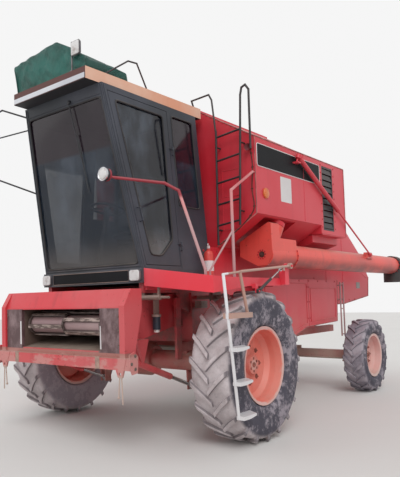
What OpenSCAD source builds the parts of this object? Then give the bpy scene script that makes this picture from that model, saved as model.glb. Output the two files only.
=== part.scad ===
// Combine harvester without a header, parked with its feeder house raised and its
// unloading auger folded back along the left side.
// Machine axes before the last shift: X to the machine's left, Y to the rear,
// Z up from the ground, with the drive axle at Y = 0. All sizes are in mm.

/* [Drive wheels] */
// Outside radius of the drive tyre, at the lugs
drive_r = 780; // [720:1:840]
// Section width of the drive tyre
drive_w = 470; // [400:1:520]
// Bead seat radius of the drive rim
drive_bead_r = 381; // [350:1:400]
// Distance from the centreline to the middle of a drive wheel
drive_track = 1434; // [1400:1:1480]
// Lugs on each half of a drive tyre
drive_lugs = 20; // [14:1:24]
// Height of a lug on the drive tyres
drive_lug_h = 36; // [20:1:45]

/* [Steered wheels] */
// Outside radius of the steered tyre, at the lugs
steer_r = 551; // [500:1:570]
// Section width of the steered tyre
steer_w = 336; // [280:1:360]
// Bead seat radius of the steered rim
steer_bead_r = 305; // [280:1:320]
// Distance from the centreline to the middle of a steered wheel
steer_track = 1291; // [1270:1:1330]
// Lugs on each half of a steered tyre
steer_lugs = 18; // [12:1:22]
// Height of a lug on the steered tyres
steer_lug_h = 24; // [15:1:30]
// Distance between the axles
wheelbase = 3732; // [3700:1:3900]
// Distance from the centreline to a kingpin
kingpin_x = 1040; // [1020:1:1060]

/* [Body] */
// Half width of the threshing body
body_hw = 760; // [700:1:780]
// Underside of the threshing body
body_z0 = 1000; // [980:1:1030]
// Top of the threshing body
body_z1 = 2100; // [2060:1:2120]
// Front wall of the threshing body
body_y0 = -60; // [-80:1:-40]
// Rear wall of the engine bay and front of the straw hood
hood_y0 = 3100; // [3060:1:3140]
// Rear end of the straw hood
hood_y1 = 5470; // [5200:1:5600]
// Thickness of sheet metal panels
panel_t = 10; // [8:1:14]
// Distance from the centreline to the outside of a side shield
shield_x = 900; // [880:1:930]

/* [Grain tank] */
// Half width of the grain tank
tank_hw = 1320; // [1280:1:1350]
// Front wall of the grain tank
tank_y0 = 500; // [490:1:540]
// Rear wall of the grain tank
tank_y1 = 2250; // [2200:1:2280]
// Height of the lower edge of the tank's side
tank_side_z0 = 2460; // [2440:1:2500]
// Height of the tank's eave
tank_eave_z = 3370; // [3200:1:3500]
// Height of the tank's top opening
tank_top_z = 3840; // [3700:1:3950]
// Half width of the tank's top opening
tank_mouth_hw = 530; // [450:1:600]

/* [Cab] */
// Half width of the cab at its floor
cab_hw = 781; // [740:1:800]
// Half width of the cab under its roof
cab_top_hw = 625; // [600:1:660]
// Front of the cab at its floor
cab_y0 = -900; // [-940:1:-880]
// How far the windscreen leans forward under the roof
cab_lean = 400; // [300:1:450]
// Rear wall of the cab
cab_y1 = 300; // [260:1:340]
// Underside of the cab base
cab_base_z = 1665; // [1655:1:1680]
// Cab floor, where the glass starts
cab_floor_z = 1820; // [1800:1:1840]
// Front edge of the roof
roof_y0 = -1480; // [-1500:1:-1470]
// Underside of the roof
roof_z = 3705; // [3650:1:3740]
// Thickness of the roof
roof_t = 125; // [90:1:140]
// Half width of the roof
roof_hw = 600; // [580:1:640]
// Thickness of the cab's walls
cab_wall = 36; // [30:1:45]
// Thickness of the glass
glass_t = 6; // [5:1:8]

/* [Platform and ladder] */
// Height of the platform's deck
deck_z = 1675; // [1665:1:1700]
// Distance from the centreline to the platform's outer edge
deck_x = 1640; // [1600:1:1660]
// Distance from the centreline to the access ladder's plane
ladder_x = 1740; // [1730:1:1760]
// Depth of a ladder step
step_depth = 130; // [100:1:150]
// Height of the lowest step above the ground
step_z0 = 392; // [320:1:400]
// Spacing of the steps
step_gap = 318; // [300:1:330]

/* [Feeder house] */
// Half width of the feeder's front frame
feeder_hw = 970; // [940:1:1000]
// Half width of the feeder's mouth
mouth_hw = 622; // [560:1:640]
// Front plane of the feeder
feeder_y = -1380; // [-1420:1:-1360]
// Lower edge of the feeder's mouth
mouth_z0 = 1000; // [990:1:1020]
// Upper edge of the feeder's mouth
mouth_z1 = 1412; // [1390:1:1430]
// Radius of the feeder drum
drum_r = 95; // [80:1:100]

/* [Unloading auger] */
// Radius of the auger tube
tube_r = 150; // [130:1:155]
// Height of the folded auger's axis
tube_z = 2000; // [1990:1:2010]
// Distance from the centreline to the folded auger's axis
tube_x = 1190; // [1185:1:1200]
// Rear end of the folded auger tube
tube_y1 = 5480; // [5000:1:5600]

/* [Hidden] */
$fn = 48;

red = [0.74, 0.13, 0.15];
orange_red = [0.80, 0.30, 0.20];
dark = [0.16, 0.16, 0.18];
steel = [0.62, 0.62, 0.62];
glass = [0.30, 0.38, 0.40, 0.45];

seat_gap = 0.3;   // gap that seats one piece against another
run_gap = 6;      // clearance between pieces that move past each other
pin_gap = 0.5;    // radial clearance of a pin in its eye

// Ends of the machine, which set the origin under the middle of its box
spout_drop = 60;   // from the tube's end to the middle of the spout
spout_wall = 10;
end_left = ladder_x + step_depth / 2;
end_right = drive_track + drive_w / 2;
end_front = roof_y0;
end_rear = tube_y1 + spout_drop + tube_r + spout_wall;
mid = [(end_left - end_right) / 2, (end_front + end_rear) / 2, 0];

// Swing axis of the auger: from the elbow up to the upper pin of its stay
swing_at = [tube_x - 60, 1000, tube_z];
stay_pin = [tank_hw + 45, 1530, tank_eave_z - 80];
stay_pin_r = 12;
neck_r = 108;
neck_top = 402;
swing_dir = stay_pin - swing_at;
swing_len = norm(swing_dir);
swing_tilt = acos(swing_dir.z / swing_len);
swing_turn = atan2(swing_dir.y, swing_dir.x);

// Feeder pivot and the ends of a lift cylinder
feeder_pin = [0, -200, 1450];
feeder_pin_r = 30;
drum_at = [feeder_y + 170, 1250];
drum_shaft_r = 25;
lift_x = 700;
lift_front = [-940, 850];
lift_rear = [0, 500];
lift_pin_r = 15;

// Ladder pivot and the ends of its gas strut
ladder_pin = [438, 1819];
strut_top = [287, 1779];
strut_low = [-188, 1549];
strut_x = ladder_x - 40;
strut_pin_r = 8;
ladder_pin_r = 12;

// Everything is shifted to the origin under the middle of the machine's box
module placed() { translate(-mid) children(); }

// Box between two corners
module box(a, b) { translate(a) cube(b - a); }

// Round bar between two points
module bar(a, b, d) {
  v = b - a;
  translate(a) rotate([0, acos(v.z / norm(v)), atan2(v.y, v.x)])
    cylinder(h = norm(v), d = d, $fn = 24);
}

// Bent round bar through a list of points, with a knee at each bend
module bent_bar(pts, d) {
  for (i = [0:len(pts) - 2]) bar(pts[i], pts[i + 1], d);
  for (i = [1:1:len(pts) - 2]) translate(pts[i]) sphere(d = d * 1.08, $fn = 24);
}

// Outline in Y and Z, drawn out along X from x0 to x1
module along_x(x0, x1) {
  translate([x0, 0, 0]) rotate([90, 0, 90]) linear_extrude(height = x1 - x0) children();
}

// Outline in X and Z, drawn out along Y from y0 to y1
module along_y(y0, y1) {
  translate([0, y1, 0]) rotate([90, 0, 0]) linear_extrude(height = y1 - y0) children();
}

// Round bar or hole along X
module rod_x(x0, x1, y, z, r) {
  translate([x0, y, z]) rotate([0, 90, 0]) cylinder(h = x1 - x0, r = r);
}

// The same piece on both sides of the centreline
module both() { children(); mirror([1, 0, 0]) children(); }

// Frame

rail_x = 600;
rail_w = 80;
rail_z0 = 895;
rail_z1 = body_z0 - seat_gap;
rail_y0 = -160;
rail_y1 = wheelbase + 260;
hitch_y = rail_y1 + 150;
hitch_r = 16;

module chassis_frame() placed() color(red) {
  both() box([rail_x, rail_y0, rail_z0], [rail_x + rail_w, rail_y1, rail_z1]);
  for (y = [300, wheelbase - 60, rail_y1 - 100])
    box([-rail_x - 1, y, rail_z0 + 20], [rail_x + 1, y + 80, rail_z1 - 20]);
  // Towing eye
  difference() {
    union() {
      box([-60, rail_y1 - 30, rail_z0 + 30], [60, hitch_y, rail_z0 + 64]);
      translate([0, hitch_y, rail_z0 + 30]) cylinder(h = 34, r = 60);
    }
    translate([0, hitch_y, rail_z0 + 20]) cylinder(h = 60, r = hitch_r);
  }
}

// Drive axle: a beam, two final drives and the two short stubs that carry the wheels
axle_beam_r = 110;
drive_flange_x = drive_track - 68;
drive_stub_r = 60;
module drive_axle() placed() color(red) {
  rod_x(-1040, 1040, 0, drive_r, axle_beam_r);
  translate([0, 0, drive_r]) rotate([0, 90, 0]) rotate_extrude()
    polygon([[0, -170], [150, -170], [200, -90], [200, 90], [150, 170], [0, 170]]);
  both() {
    rod_x(1000, 1100, 0, drive_r, 215);
    rod_x(1090, drive_flange_x, 0, drive_r, 150);
    rod_x(drive_flange_x - 10, drive_track - 10, 0, drive_r, drive_stub_r);
    box([rail_x + 5, -70, drive_r + 60], [rail_x + rail_w - 5, 70, rail_z0 - seat_gap]);
  }
  // Ears under the axle that take the lift cylinders
  both() {
    for (s = [-1, 1]) along_x(lift_x + s * 40 - 8, lift_x + s * 40 + 8)
      polygon([[-60, drive_r - 60], [-45, 460], [45, 460], [60, drive_r - 60]]);
    rod_x(lift_x - 54, lift_x + 54, lift_rear.x, lift_rear.y, lift_pin_r);
  }
}

// Body

cab_seat_z = cab_base_z - seat_gap;
module threshing_body() placed() color(red) {
  difference() {
    along_x(-body_hw, body_hw)
      polygon([[body_y0, body_z0], [body_y0, cab_seat_z], [cab_y1 + 10, cab_seat_z],
               [cab_y1 + 10, body_z1], [hood_y0 - seat_gap, body_z1],
               [hood_y0 - seat_gap, body_z0]]);
    // Throat behind the feeder
    box([-mouth_hw, body_y0 - 10, 1180], [mouth_hw, body_y0 + 160, 1560]);
  }
  both() {
    // Beam that carries the front of the cab
    box([body_hw - 60, cab_y0 + 20, 1560], [body_hw, body_y0 + 1, cab_seat_z]);
    // Hanger and stub of the feeder's pivot
    along_x(body_hw - 60, body_hw - 20)
      polygon([[body_y0 + 1, 1330], [body_y0 + 1, 1561], [feeder_pin.y - 60, 1561],
               [feeder_pin.y - 60, 1400]]);
    box([body_hw - 56, feeder_pin.y - 115, 825], [body_hw - 24, feeder_pin.y - 30, 1500]);
    rod_x(mouth_hw + 24, body_hw - 50, feeder_pin.y, feeder_pin.z, feeder_pin_r);
  }
}

module cleaning_shoe() placed() color([0.42, 0.30, 0.26]) along_x(-560, 560)
  polygon([[800, body_z0 - seat_gap], [800, 840], [1150, 640], [1420, 800], [1500, 800], [1850, 620],
           [2150, 800], [3050, 880], [3050, body_z0 - seat_gap]]);

hood_outline = [[hood_y0, 1330], [hood_y0, 2620], [4480, 2600], [5080, 2220], [hood_y1, 1810],
                [hood_y1 - 50, 1458], [4300, 1334]];
module straw_hood() placed() color(red) difference() {
  along_x(-body_hw, body_hw) polygon(hood_outline);
  along_x(-body_hw + panel_t, body_hw - panel_t)
    polygon([[hood_y0 + panel_t, 1330 + panel_t], [hood_y0 + panel_t, 2620 - panel_t],
             [4476, 2600 - panel_t], [5072, 2220 - panel_t], [hood_y1 - panel_t, 1806],
             [hood_y1 - 50 - panel_t, 1300], [4320, 1300], [4300, 1334 + panel_t]]);
}

// Side shields cover the belts between the wheels
shield_z1 = 1730;
module shield() {
  along_x(shield_x - panel_t, shield_x)
    polygon([[1300, 880], [1300, shield_z1], [2625, shield_z1], [2625, 1038], [2558, 1035],
             [2000, 880]]);
  along_x(shield_x - panel_t, shield_x)
    polygon([[2634, 1038], [2634, shield_z1], [3700, shield_z1], [3650, 1074]]);
  // Top flange and stays that reach the body
  box([body_hw + seat_gap, 1300, shield_z1 - panel_t], [shield_x - 1, 3700, shield_z1]);
  for (y = [1320, 2600, 3060])
    box([body_hw + seat_gap, y, 1090], [shield_x - 1, y + 40, 1110]);
}
module side_shields() placed() color(red) both() shield();

// Grain tank

tank_z0 = body_z1 + seat_gap;
function tank_outline(t) = [
  [body_hw - 10 - t, tank_z0 + t], [tank_hw - t, tank_side_z0 + t * 0.4],
  [tank_hw - t, tank_eave_z - t * 0.6], [tank_mouth_hw - t * 0.3, tank_top_z - t * 0.8]];
function both_sides(p) = concat(p, [for (i = [len(p) - 1:-1:0]) [-p[i].x, p[i].y]]);

pocket = [[800, 740, tank_z0 - 10], [tank_hw + 1, 1530, tank_side_z0 - 20]];
module grain_tank() placed() color(red) {
  difference() {
    along_y(tank_y0, tank_y1) polygon(both_sides(tank_outline(0)));
    difference() {
      along_y(tank_y0 + panel_t, tank_y1 - panel_t) polygon(both_sides(tank_outline(panel_t)));
      // Roof of the pocket over the auger's elbow
      box(pocket[0] - [panel_t, panel_t, 0], pocket[1] + [0, panel_t, panel_t]);
    }
    // Open top
    box([-tank_mouth_hw + 40, tank_y0 + 60, tank_top_z - 60],
        [tank_mouth_hw - 40, tank_y1 - 60, tank_top_z + 10]);
    box(pocket[0], pocket[1]);
  }
  // Rim of the top opening
  difference() {
    box([-tank_mouth_hw, tank_y0, tank_top_z - 1], [tank_mouth_hw, tank_y1, tank_top_z + 25]);
    box([-tank_mouth_hw + 40, tank_y0 + 60, tank_top_z - 60],
        [tank_mouth_hw - 40, tank_y1 - 60, tank_top_z + 40]);
  }
  // Ear and pin for the auger's stay
  box([tank_hw - 1, stay_pin.y - 80, stay_pin.z - 92], [stay_pin.x + 30, stay_pin.y + 10, stay_pin.z - 74]);
  at_swing() rotate([0, 0, 40]) translate([0, 0, swing_len - 95]) cylinder(h = 130, r = stay_pin_r);
  // Swivel collar over the elbow
  at_swing() difference() {
    translate([0, 0, neck_top + run_gap]) cylinder(h = 52, r = neck_r);
    translate([0, 0, neck_top]) cylinder(h = 80, r = neck_r - 18);
  }
}

module at_swing() {
  translate(swing_at) rotate([0, swing_tilt, swing_turn]) children();
}

// Ladder to the tank, in front of its front wall
tank_ladder_y = tank_y0 - 90;
module tank_ladder() placed() color(dark) {
  y = tank_ladder_y;
  bar([835, y, 2120], [850, y, 3508], 26);
  bent_bar([[1145, y, 2330], [1205, y, 3860], [1225, y, 3945], [1275, y, 3965], [1318, y, 3900],
            [1318, y, 3200]], 26);
  for (z = [2370, 2620, 2880, 3150, 3440])
    bar([812 + 0.0108 * z, y, z - 20], [1054 + 0.0392 * z, y, z + 20], 24);
  // Brackets to the tank's wall
  for (p = [[838, 2300], [848, 3300], [1150, 2500], [1190, 3300]])
    bar([p[0], y, p[1]], [p[0], tank_y0 - seat_gap, p[1]], 20);
  // Hoop of the hand hold beside the roof
  bent_bar([[500, tank_y0 - seat_gap, tank_top_z + 12], [500, y + 60, tank_top_z + 12],
            [500, y, tank_top_z + 120], [760, y, tank_top_z + 135], [800, y, 3900], [845, y, 3500]], 22);
}

// Engine

deck_top_z = 2335;
module engine_block() placed() color([0.25, 0.26, 0.28])
  box([-550, tank_y1 + 170, deck_top_z + seat_gap], [550, hood_y0 - 100, tank_eave_z - 220]);

cover_y0 = tank_y1 + seat_gap;
module engine_cover() placed() color(red) {
  difference() {
    along_y(cover_y0, hood_y0 - 5)
      polygon([[-tank_hw, deck_top_z + 10], [-tank_hw, tank_eave_z], [-tank_mouth_hw, tank_eave_z + 90],
               [tank_mouth_hw, tank_eave_z + 90], [tank_hw, tank_eave_z], [tank_hw, deck_top_z + 10]]);
    box([-tank_hw + panel_t, cover_y0 + panel_t, deck_top_z - 50],
        [tank_hw - panel_t, hood_y0 - 5 - panel_t, tank_eave_z - panel_t]);
    box([-tank_hw - 5, 2320, 2400], [tank_hw + 5, 2680, 3310]);
  }
  // Deck that carries the engine
  along_y(cover_y0, hood_y0 - 5) polygon(both_sides([
    [1000, body_z1 + seat_gap], [1000, body_z1 + 80], [1180, body_z1 + 140], [1180, deck_top_z]]));
  both() box([1150, cover_y0 + 30, deck_top_z - 1], [tank_hw - 1, hood_y0 - 40, deck_top_z + 12]);
}

// Louvred grilles on both sides of the engine bay
louvres = 10;
module engine_grilles() placed() color(dark) both() {
  difference() {
    box([tank_hw - 22, 2320 + seat_gap, 2400 + seat_gap], [tank_hw - 2, 2680 - seat_gap, 3310 - seat_gap]);
    box([tank_hw - 30, 2345, 2425], [tank_hw + 5, 2655, 3285]);
  }
  for (i = [0:louvres - 1]) translate([0, 0, 2425 + (i + 0.1) * 860 / louvres])
    along_y(2344, 2656)
      polygon([[tank_hw - 20, 66], [tank_hw - 14, 72], [tank_hw - 3, 8], [tank_hw - 3, 0],
               [tank_hw - 9, 0]]);
}

// Cab

cab_top_z = roof_z - seat_gap;
lean_slope = cab_lean / (cab_top_z - cab_floor_z);
side_slope = (cab_hw - cab_top_hw) / (cab_top_z - cab_floor_z);
// Front edge and half width of the cab at a height
function cab_front(z) = cab_y0 - lean_slope * (z - cab_floor_z);
function cab_half(z) = cab_hw - side_slope * (z - cab_floor_z);

module cab_slice(z, t) {
  translate([-cab_half(z) + t, cab_front(z) + t, z])
    cube([2 * (cab_half(z) - t), cab_y1 - t - cab_front(z) - t, 0.01]);
}
module cab_form(t, z0, z1) { hull() { cab_slice(z0, t); cab_slice(z1, t); } }

module cab_base() placed() color(dark) {
  difference() {
    box([-cab_hw, cab_y0 - 30, cab_base_z], [cab_hw, cab_y1, cab_floor_z - seat_gap]);
    box([-cab_hw + 40, cab_y0 + 40, cab_base_z - 10], [cab_hw - 40, cab_y1 - 40, cab_floor_z - 30]);
  }
}

// Window outlines in Y and Z
door_window = [[-760, 1960], [-577, 1955], [-365, 2140], [-350, 3560], [-1120, 3560]];
rear_window = [[-190, 2540], [210, 2540], [210, 3600], [-190, 3600]];
fixed_window = [[-760, 1960], [-365, 1960], [-350, 3560], [-1120, 3560]];
door_y1 = -262;
door_z0 = 1850;
door_z1 = 3640;
function door_edge(z) = cab_front(z) + 62;
module door_outline(g) {
  polygon([[door_edge(door_z0 + g) + g, door_z0 + g], [door_y1 - g, door_z0 + g],
           [door_y1 - g, door_z1 - g], [door_edge(door_z1 - g) + g, door_z1 - g]]);
}
// Windscreen opening in X and Z
module windscreen_outline(g) {
  z0 = cab_floor_z + 45 + g;
  z1 = 3570 - g;
  polygon([[-cab_half(z0) + 52 + g, z0], [cab_half(z0) - 52 - g, z0],
           [cab_half(z1) - 52 - g, z1], [-cab_half(z1) + 52 + g, z1]]);
}
module rear_outline(g) {
  polygon([[-480 + g, 2500 + g], [480 - g, 2500 + g], [440 - g, 3560 - g], [-440 + g, 3560 - g]]);
}

hinge_z = [2080, 3180];
hinge_y = door_y1 + 26;
function hinge_x(z) = cab_half(z) + 22;

module cab_shell() placed() color(dark) {
  difference() {
    cab_form(0, cab_floor_z, cab_top_z);
    cab_form(cab_wall, cab_floor_z + 20, cab_top_z - 30);
    along_x(0, 900) door_outline(0);
    along_x(0, 900) polygon(rear_window);
    along_x(-900, 0) polygon(rear_window);
    along_x(-900, 0) polygon(fixed_window);
    along_y(-1500, -600) windscreen_outline(0);
    along_y(200, 400) rear_outline(0);
  }
  // Hinge pins of the door
  for (z = hinge_z) {
    bar([hinge_x(z - 60), hinge_y, z - 60], [hinge_x(z + 40), hinge_y, z + 40], 12);
    bar([cab_half(z - 60) - 20, hinge_y + 8, z - 52], [hinge_x(z - 52), hinge_y, z - 52], 16);
  }
}

module glass_sheet() {
  difference() {
    cab_form(14, cab_floor_z + 1, cab_top_z - 1);
    cab_form(14 + glass_t, cab_floor_z, cab_top_z);
  }
}
module cab_glass() placed() color(glass) {
  intersection() {
    glass_sheet();
    union() {
      along_y(-1500, -600) windscreen_outline(seat_gap);
      along_y(200, 400) rear_outline(seat_gap);
      for (x = [-900, 100]) along_x(x, x + 800) offset(delta = -seat_gap) polygon(rear_window);
      along_x(-900, -100) offset(delta = -seat_gap) polygon(fixed_window);
    }
  }
}

module cab_door() placed() color(dark) {
  difference() {
    intersection() {
      difference() {
        cab_form(0, cab_floor_z, cab_top_z);
        cab_form(cab_wall - 4, cab_floor_z - 5, cab_top_z + 5);
      }
      along_x(100, 900) door_outline(run_gap);
    }
    along_x(100, 900) polygon(door_window);
  }
  for (z = hinge_z) difference() {
    union() {
      bar([hinge_x(z), hinge_y, z], [hinge_x(z + 38), hinge_y, z + 38], 26);
      bar([hinge_x(z + 19), hinge_y, z + 19], [cab_half(z + 19) - 6, door_y1 - 30, z + 19], 12);
    }
    bar([hinge_x(z - 80), hinge_y, z - 80], [hinge_x(z + 80), hinge_y, z + 80], 13);
  }
  // Outside handle
  bent_bar([[cab_half(2300) - 8, -882, 2300], [cab_half(2300) + 40, -884, 2312],
            [cab_half(2440) + 40, -910, 2440], [cab_half(2452) - 8, -912, 2452]], 14);
}

module door_glass() placed() color(glass) intersection() {
  glass_sheet();
  along_x(100, 900) offset(delta = -seat_gap) polygon(door_window);
}

module cab_roof() placed() color([0.72, 0.45, 0.30]) {
  linear_extrude_at(roof_z, roof_t) polygon([
    [-roof_hw + 15, roof_y0], [roof_hw - 15, roof_y0], [roof_hw + 25, 420], [-roof_hw - 25, 420]]);
  // Bent rail on the roof's left side
  bent_bar([[roof_hw - 30, -1200, roof_top - 5], [roof_hw - 20, -840, 4070],
            [roof_hw - 20, -700, 4085], [roof_hw - 30, -520, roof_top - 5]], 18);
}
module linear_extrude_at(z, h) { translate([0, 0, z]) linear_extrude(height = h) children(); }

roof_top = roof_z + roof_t;
// Cover over the cooler on the roof: X and height of its front, and Y and height of its side
canvas_front = [[20, seat_gap], [-55, 370], [300, 405], [roof_hw + 60, 433], [roof_hw + 335, 275],
                [2 * roof_hw - 80, 135], [2 * roof_hw - 55, seat_gap]];
canvas_side = [[55, 0], [50, 440], [150, 440], [380, 350], [580, 180], [640, 160], [650, 0]];
module roof_canvas() placed() color([0.05, 0.42, 0.33]) intersection() {
  along_y(roof_y0, roof_y0 + 700) polygon([for (p = canvas_front) [p[0] - roof_hw, roof_top + p[1]]]);
  along_x(-roof_hw - 100, roof_hw) polygon([for (p = canvas_side) [roof_y0 + p[0], roof_top + p[1]]]);
}

// Headlamps in the bare dark panel under the windscreen, and a work lamp on a stalk on the roof
lamp_z = (cab_base_z + cab_floor_z) / 2;
lamp_size = [132, 118];
// Corners of a rectangle, each cut by two chamfers
function soft_corners(w, h, c) = [for (q = [[1, 1], [-1, 1], [-1, -1], [1, -1]])
  each let (p = [[w / 2, h / 2 - c], [w / 2 - c * 0.29, h / 2 - c * 0.29], [w / 2 - c, h / 2]])
    [for (i = q.x * q.y > 0 ? [0, 1, 2] : [2, 1, 0]) [q.x * p[i].x, q.y * p[i].y]]];
module lamps() placed() color([0.85, 0.85, 0.80]) {
  both() translate([cab_hw - 78, cab_y0 - 30 - seat_gap, lamp_z]) rotate([90, 0, 0])
    linear_extrude(height = 26) polygon(soft_corners(lamp_size.x, lamp_size.y, 26));
  bar([366, roof_y0 + 22, roof_top + seat_gap], [366, roof_y0 + 22, 4145], 16);
  box([370, roof_y0 + 4, 3985], [498, roof_y0 + 40, 4135]);
}

// Mirror on the right, held by three bent arms from the front pillar
module mirror_pad(y, z) {
  translate([-cab_half(z) - seat_gap, y, z]) rotate([0, atan(side_slope) - 90, 0])
    cylinder(h = 14, r = 22);
}
module mirror_right() placed() color(dark) {
  mirror_pad(-1240, 3625);
  mirror_pad(-1200, 3500);
  mirror_pad(-1030, 2760);
  bent_bar([[-cab_half(3625) - 12, -1240, 3627], [-1000, -1350, 3780], [-1330, -1400, 3700],
            [-1400, -1400, 3300], [-1330, -1380, 3050], [-cab_half(2760) - 12, -1030, 2762]], 20);
  bar([-cab_half(3500) - 12, -1200, 3502], [-1390, -1400, 3450], 16);
  box([-1480, -1432, 3120], [-1300, -1404, 3520]);
}

module seat() placed() color([0.12, 0.12, 0.13]) {
  box([-240, -330, 2210], [240, 130, 2330]);
  box([-230, 60, 2320], [230, 180, 2900]);
  box([-150, -250, cab_floor_z + 20 + seat_gap], [150, 60, 2211]);
}

module steering_column() placed() color(dark) {
  bar([0, -780, cab_floor_z + 20 + seat_gap + 8], [0, -620, 2520], 70);
  translate([0, -614, 2546]) rotate([-13.2, 0, 0]) rotate_extrude() translate([190, 0]) circle(r = 14);
  translate([0, -620, 2520]) rotate([-13.2, 0, 0]) {
    cylinder(h = 40, r = 45);
    for (a = [90, 210, 330]) rotate([0, 0, a]) translate([0, -12, 18]) cube([186, 24, 12]);
  }
}

// Platform, rails and ladder

apron_t = 6;
module platform() placed() color(red) {
  x0 = max(cab_hw, body_hw) + 12;
  box([x0, cab_y0, deck_z - 18], [deck_x, 470, deck_z]);
  // Sloping apron across the front
  along_y(cab_y0 - apron_t, cab_y0 + 1)
    polygon([[x0, 1633], [x0, 1815], [deck_x, 1700], [deck_x, 1540]]);
  // Apron along the outer edge
  along_x(deck_x - 1, deck_x + apron_t)
    polygon([[cab_y0 - apron_t, 1540], [cab_y0 - apron_t, 1700], [-600, 1690], [470, 1690],
             [470, 1610], [-300, 1600]]);
  // Beams under the deck
  for (y = [-700, 330]) box([body_hw + 30, y, 1600], [deck_x - 60, y + 60, deck_z - 17]);
  box([body_hw + seat_gap, cab_y0 + 40, 1590], [body_hw + 31, 440, cab_base_z - 5]);
  // Arm that carries the ladder's pivot and the foot of its strut
  box([deck_x - 1, 380, deck_z - 60], [ladder_x - 34, 470, ladder_pin.y - 20]);
  rod_x(ladder_x - 60, ladder_x - 34, ladder_pin.x, ladder_pin.y, 34);
  rod_x(ladder_x - 50, ladder_x + 30, ladder_pin.x, ladder_pin.y, ladder_pin_r);
  box([deck_x - 1, strut_low.x - 25, strut_low.y + 30], [ladder_x - 55, strut_low.x + 25, 1625]);
  box([ladder_x - 64, strut_low.x - 25, strut_low.y - 18], [ladder_x - 55, strut_low.x + 25, 1625]);
  rod_x(ladder_x - 60, strut_x + 16, strut_low.x, strut_low.y, strut_pin_r);
}

// Rails: one from the platform's rear corner up to the tank, one beside the door that carries a
// lamp in front of the cab's corner, and twin uprights behind the left shield
module rail_foot(x, y) { translate([x, y, deck_z + seat_gap]) cylinder(h = 10, r = 30); }
module handrails() placed() color([0.80, 0.35, 0.38]) {
  rail_foot(1600, -470);
  rail_foot(1470, -700);
  rail_foot(1530, -862);
  bent_bar([[1600, -470, deck_z + 5], [1600, -480, 2560], [tank_hw - 20, 470, 2942]], 30);
  bent_bar([[1470, -700, deck_z + 5], [1470, -700, 1760], [1600, -478, 2150]], 20);
  bar([tank_hw - 20, 462, 2940], [tank_hw - 20, tank_y0 - seat_gap, 2940], 20);
  bent_bar([[1530, -862, deck_z + 5], [1530, -862, 1760], [1290, -930, 2540], [1180, -1010, 2620],
            [800, -1330, 2690]], 30);
  translate([740, -1350, 2720]) rotate([90, 0, 0]) cylinder(h = 60, r = 62);
  bar([800, -1330, 2690], [745, -1380, 2720], 24);
  for (y = [3760, 3880]) bar([shield_x + 20, y, 830], [shield_x + 20, y, 1700], 24);
  for (z = [860, 1270, 1670]) bar([shield_x + 20, 3760, z], [shield_x + 20, 3880, z], 18);
  for (z = [1420, 1650]) for (y = [3760, 3880])
    bar([shield_x + 20, y, z], [body_hw + seat_gap, y, z], 18);
}

// Oil filter, valve block and drive shaft under the platform's front
filter_r = 42;
filter_x = max(body_hw - 30, mouth_hw + 30 + filter_r);
shaft_at = [60, 1500];
module hydraulics() placed() color([0.35, 0.38, 0.42]) {
  translate([filter_x, -650, 0]) {
    box([-8, -40, 1330], [8, 40, 1560 - seat_gap]);
    translate([0, 0, 1300]) cylinder(h = 32, r = filter_r + 8);
    translate([0, 0, 1172]) cylinder(h = 130, r = filter_r);
    translate([0, 0, 1144]) cylinder(h = 30, r = filter_r - 12);
  }
  // Cylinder under the platform's front, on two hangers
  rod_x(body_hw - 55, 960, -850, 1510, 26);
  rod_x(959, 1075, -850, 1510, 13);
  box([body_hw - 45, -862, 1515], [body_hw - 15, -838, 1560 - seat_gap]);
  box([930, -862, 1515], [950, -838, deck_z - 18 - seat_gap]);
  // Cross shaft with its grooved pulley, and the valve block
  rod_x(body_hw + seat_gap, body_hw + 330, shaft_at.x, shaft_at.y, 22);
  translate([body_hw + 220, shaft_at.x, shaft_at.y]) rotate([0, 90, 0]) rotate_extrude()
    polygon([[0, 0], [92, 0], [92, 8], [72, 20], [72, 24], [92, 36], [92, 44], [0, 44]]);
  box([body_hw + seat_gap, 0, 1380], [body_hw + 90, 120, 1460]);
}

stile_top = [-883, 1712];
stile_foot = [-695, 365];
stile_d = 30;
step_h = 36;
step_t = 5;
step_hw = step_depth / 2;
// Outline of a lower step from above: it starts at the stile and widens behind it
step_plan = [[-18, -8], [step_hw, -8], [step_hw, 215], [-step_hw, 300], [-step_hw, 105]];
// Y of the front stile at a height
function stile_y(z) = stile_foot.x
  + (z - stile_foot.y) * (stile_top.x - stile_foot.x) / (stile_top.y - stile_foot.y);
module at_step(i) {
  z = step_z0 + i * step_gap;
  translate([ladder_x, stile_y(z), z]) children();
}
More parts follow.
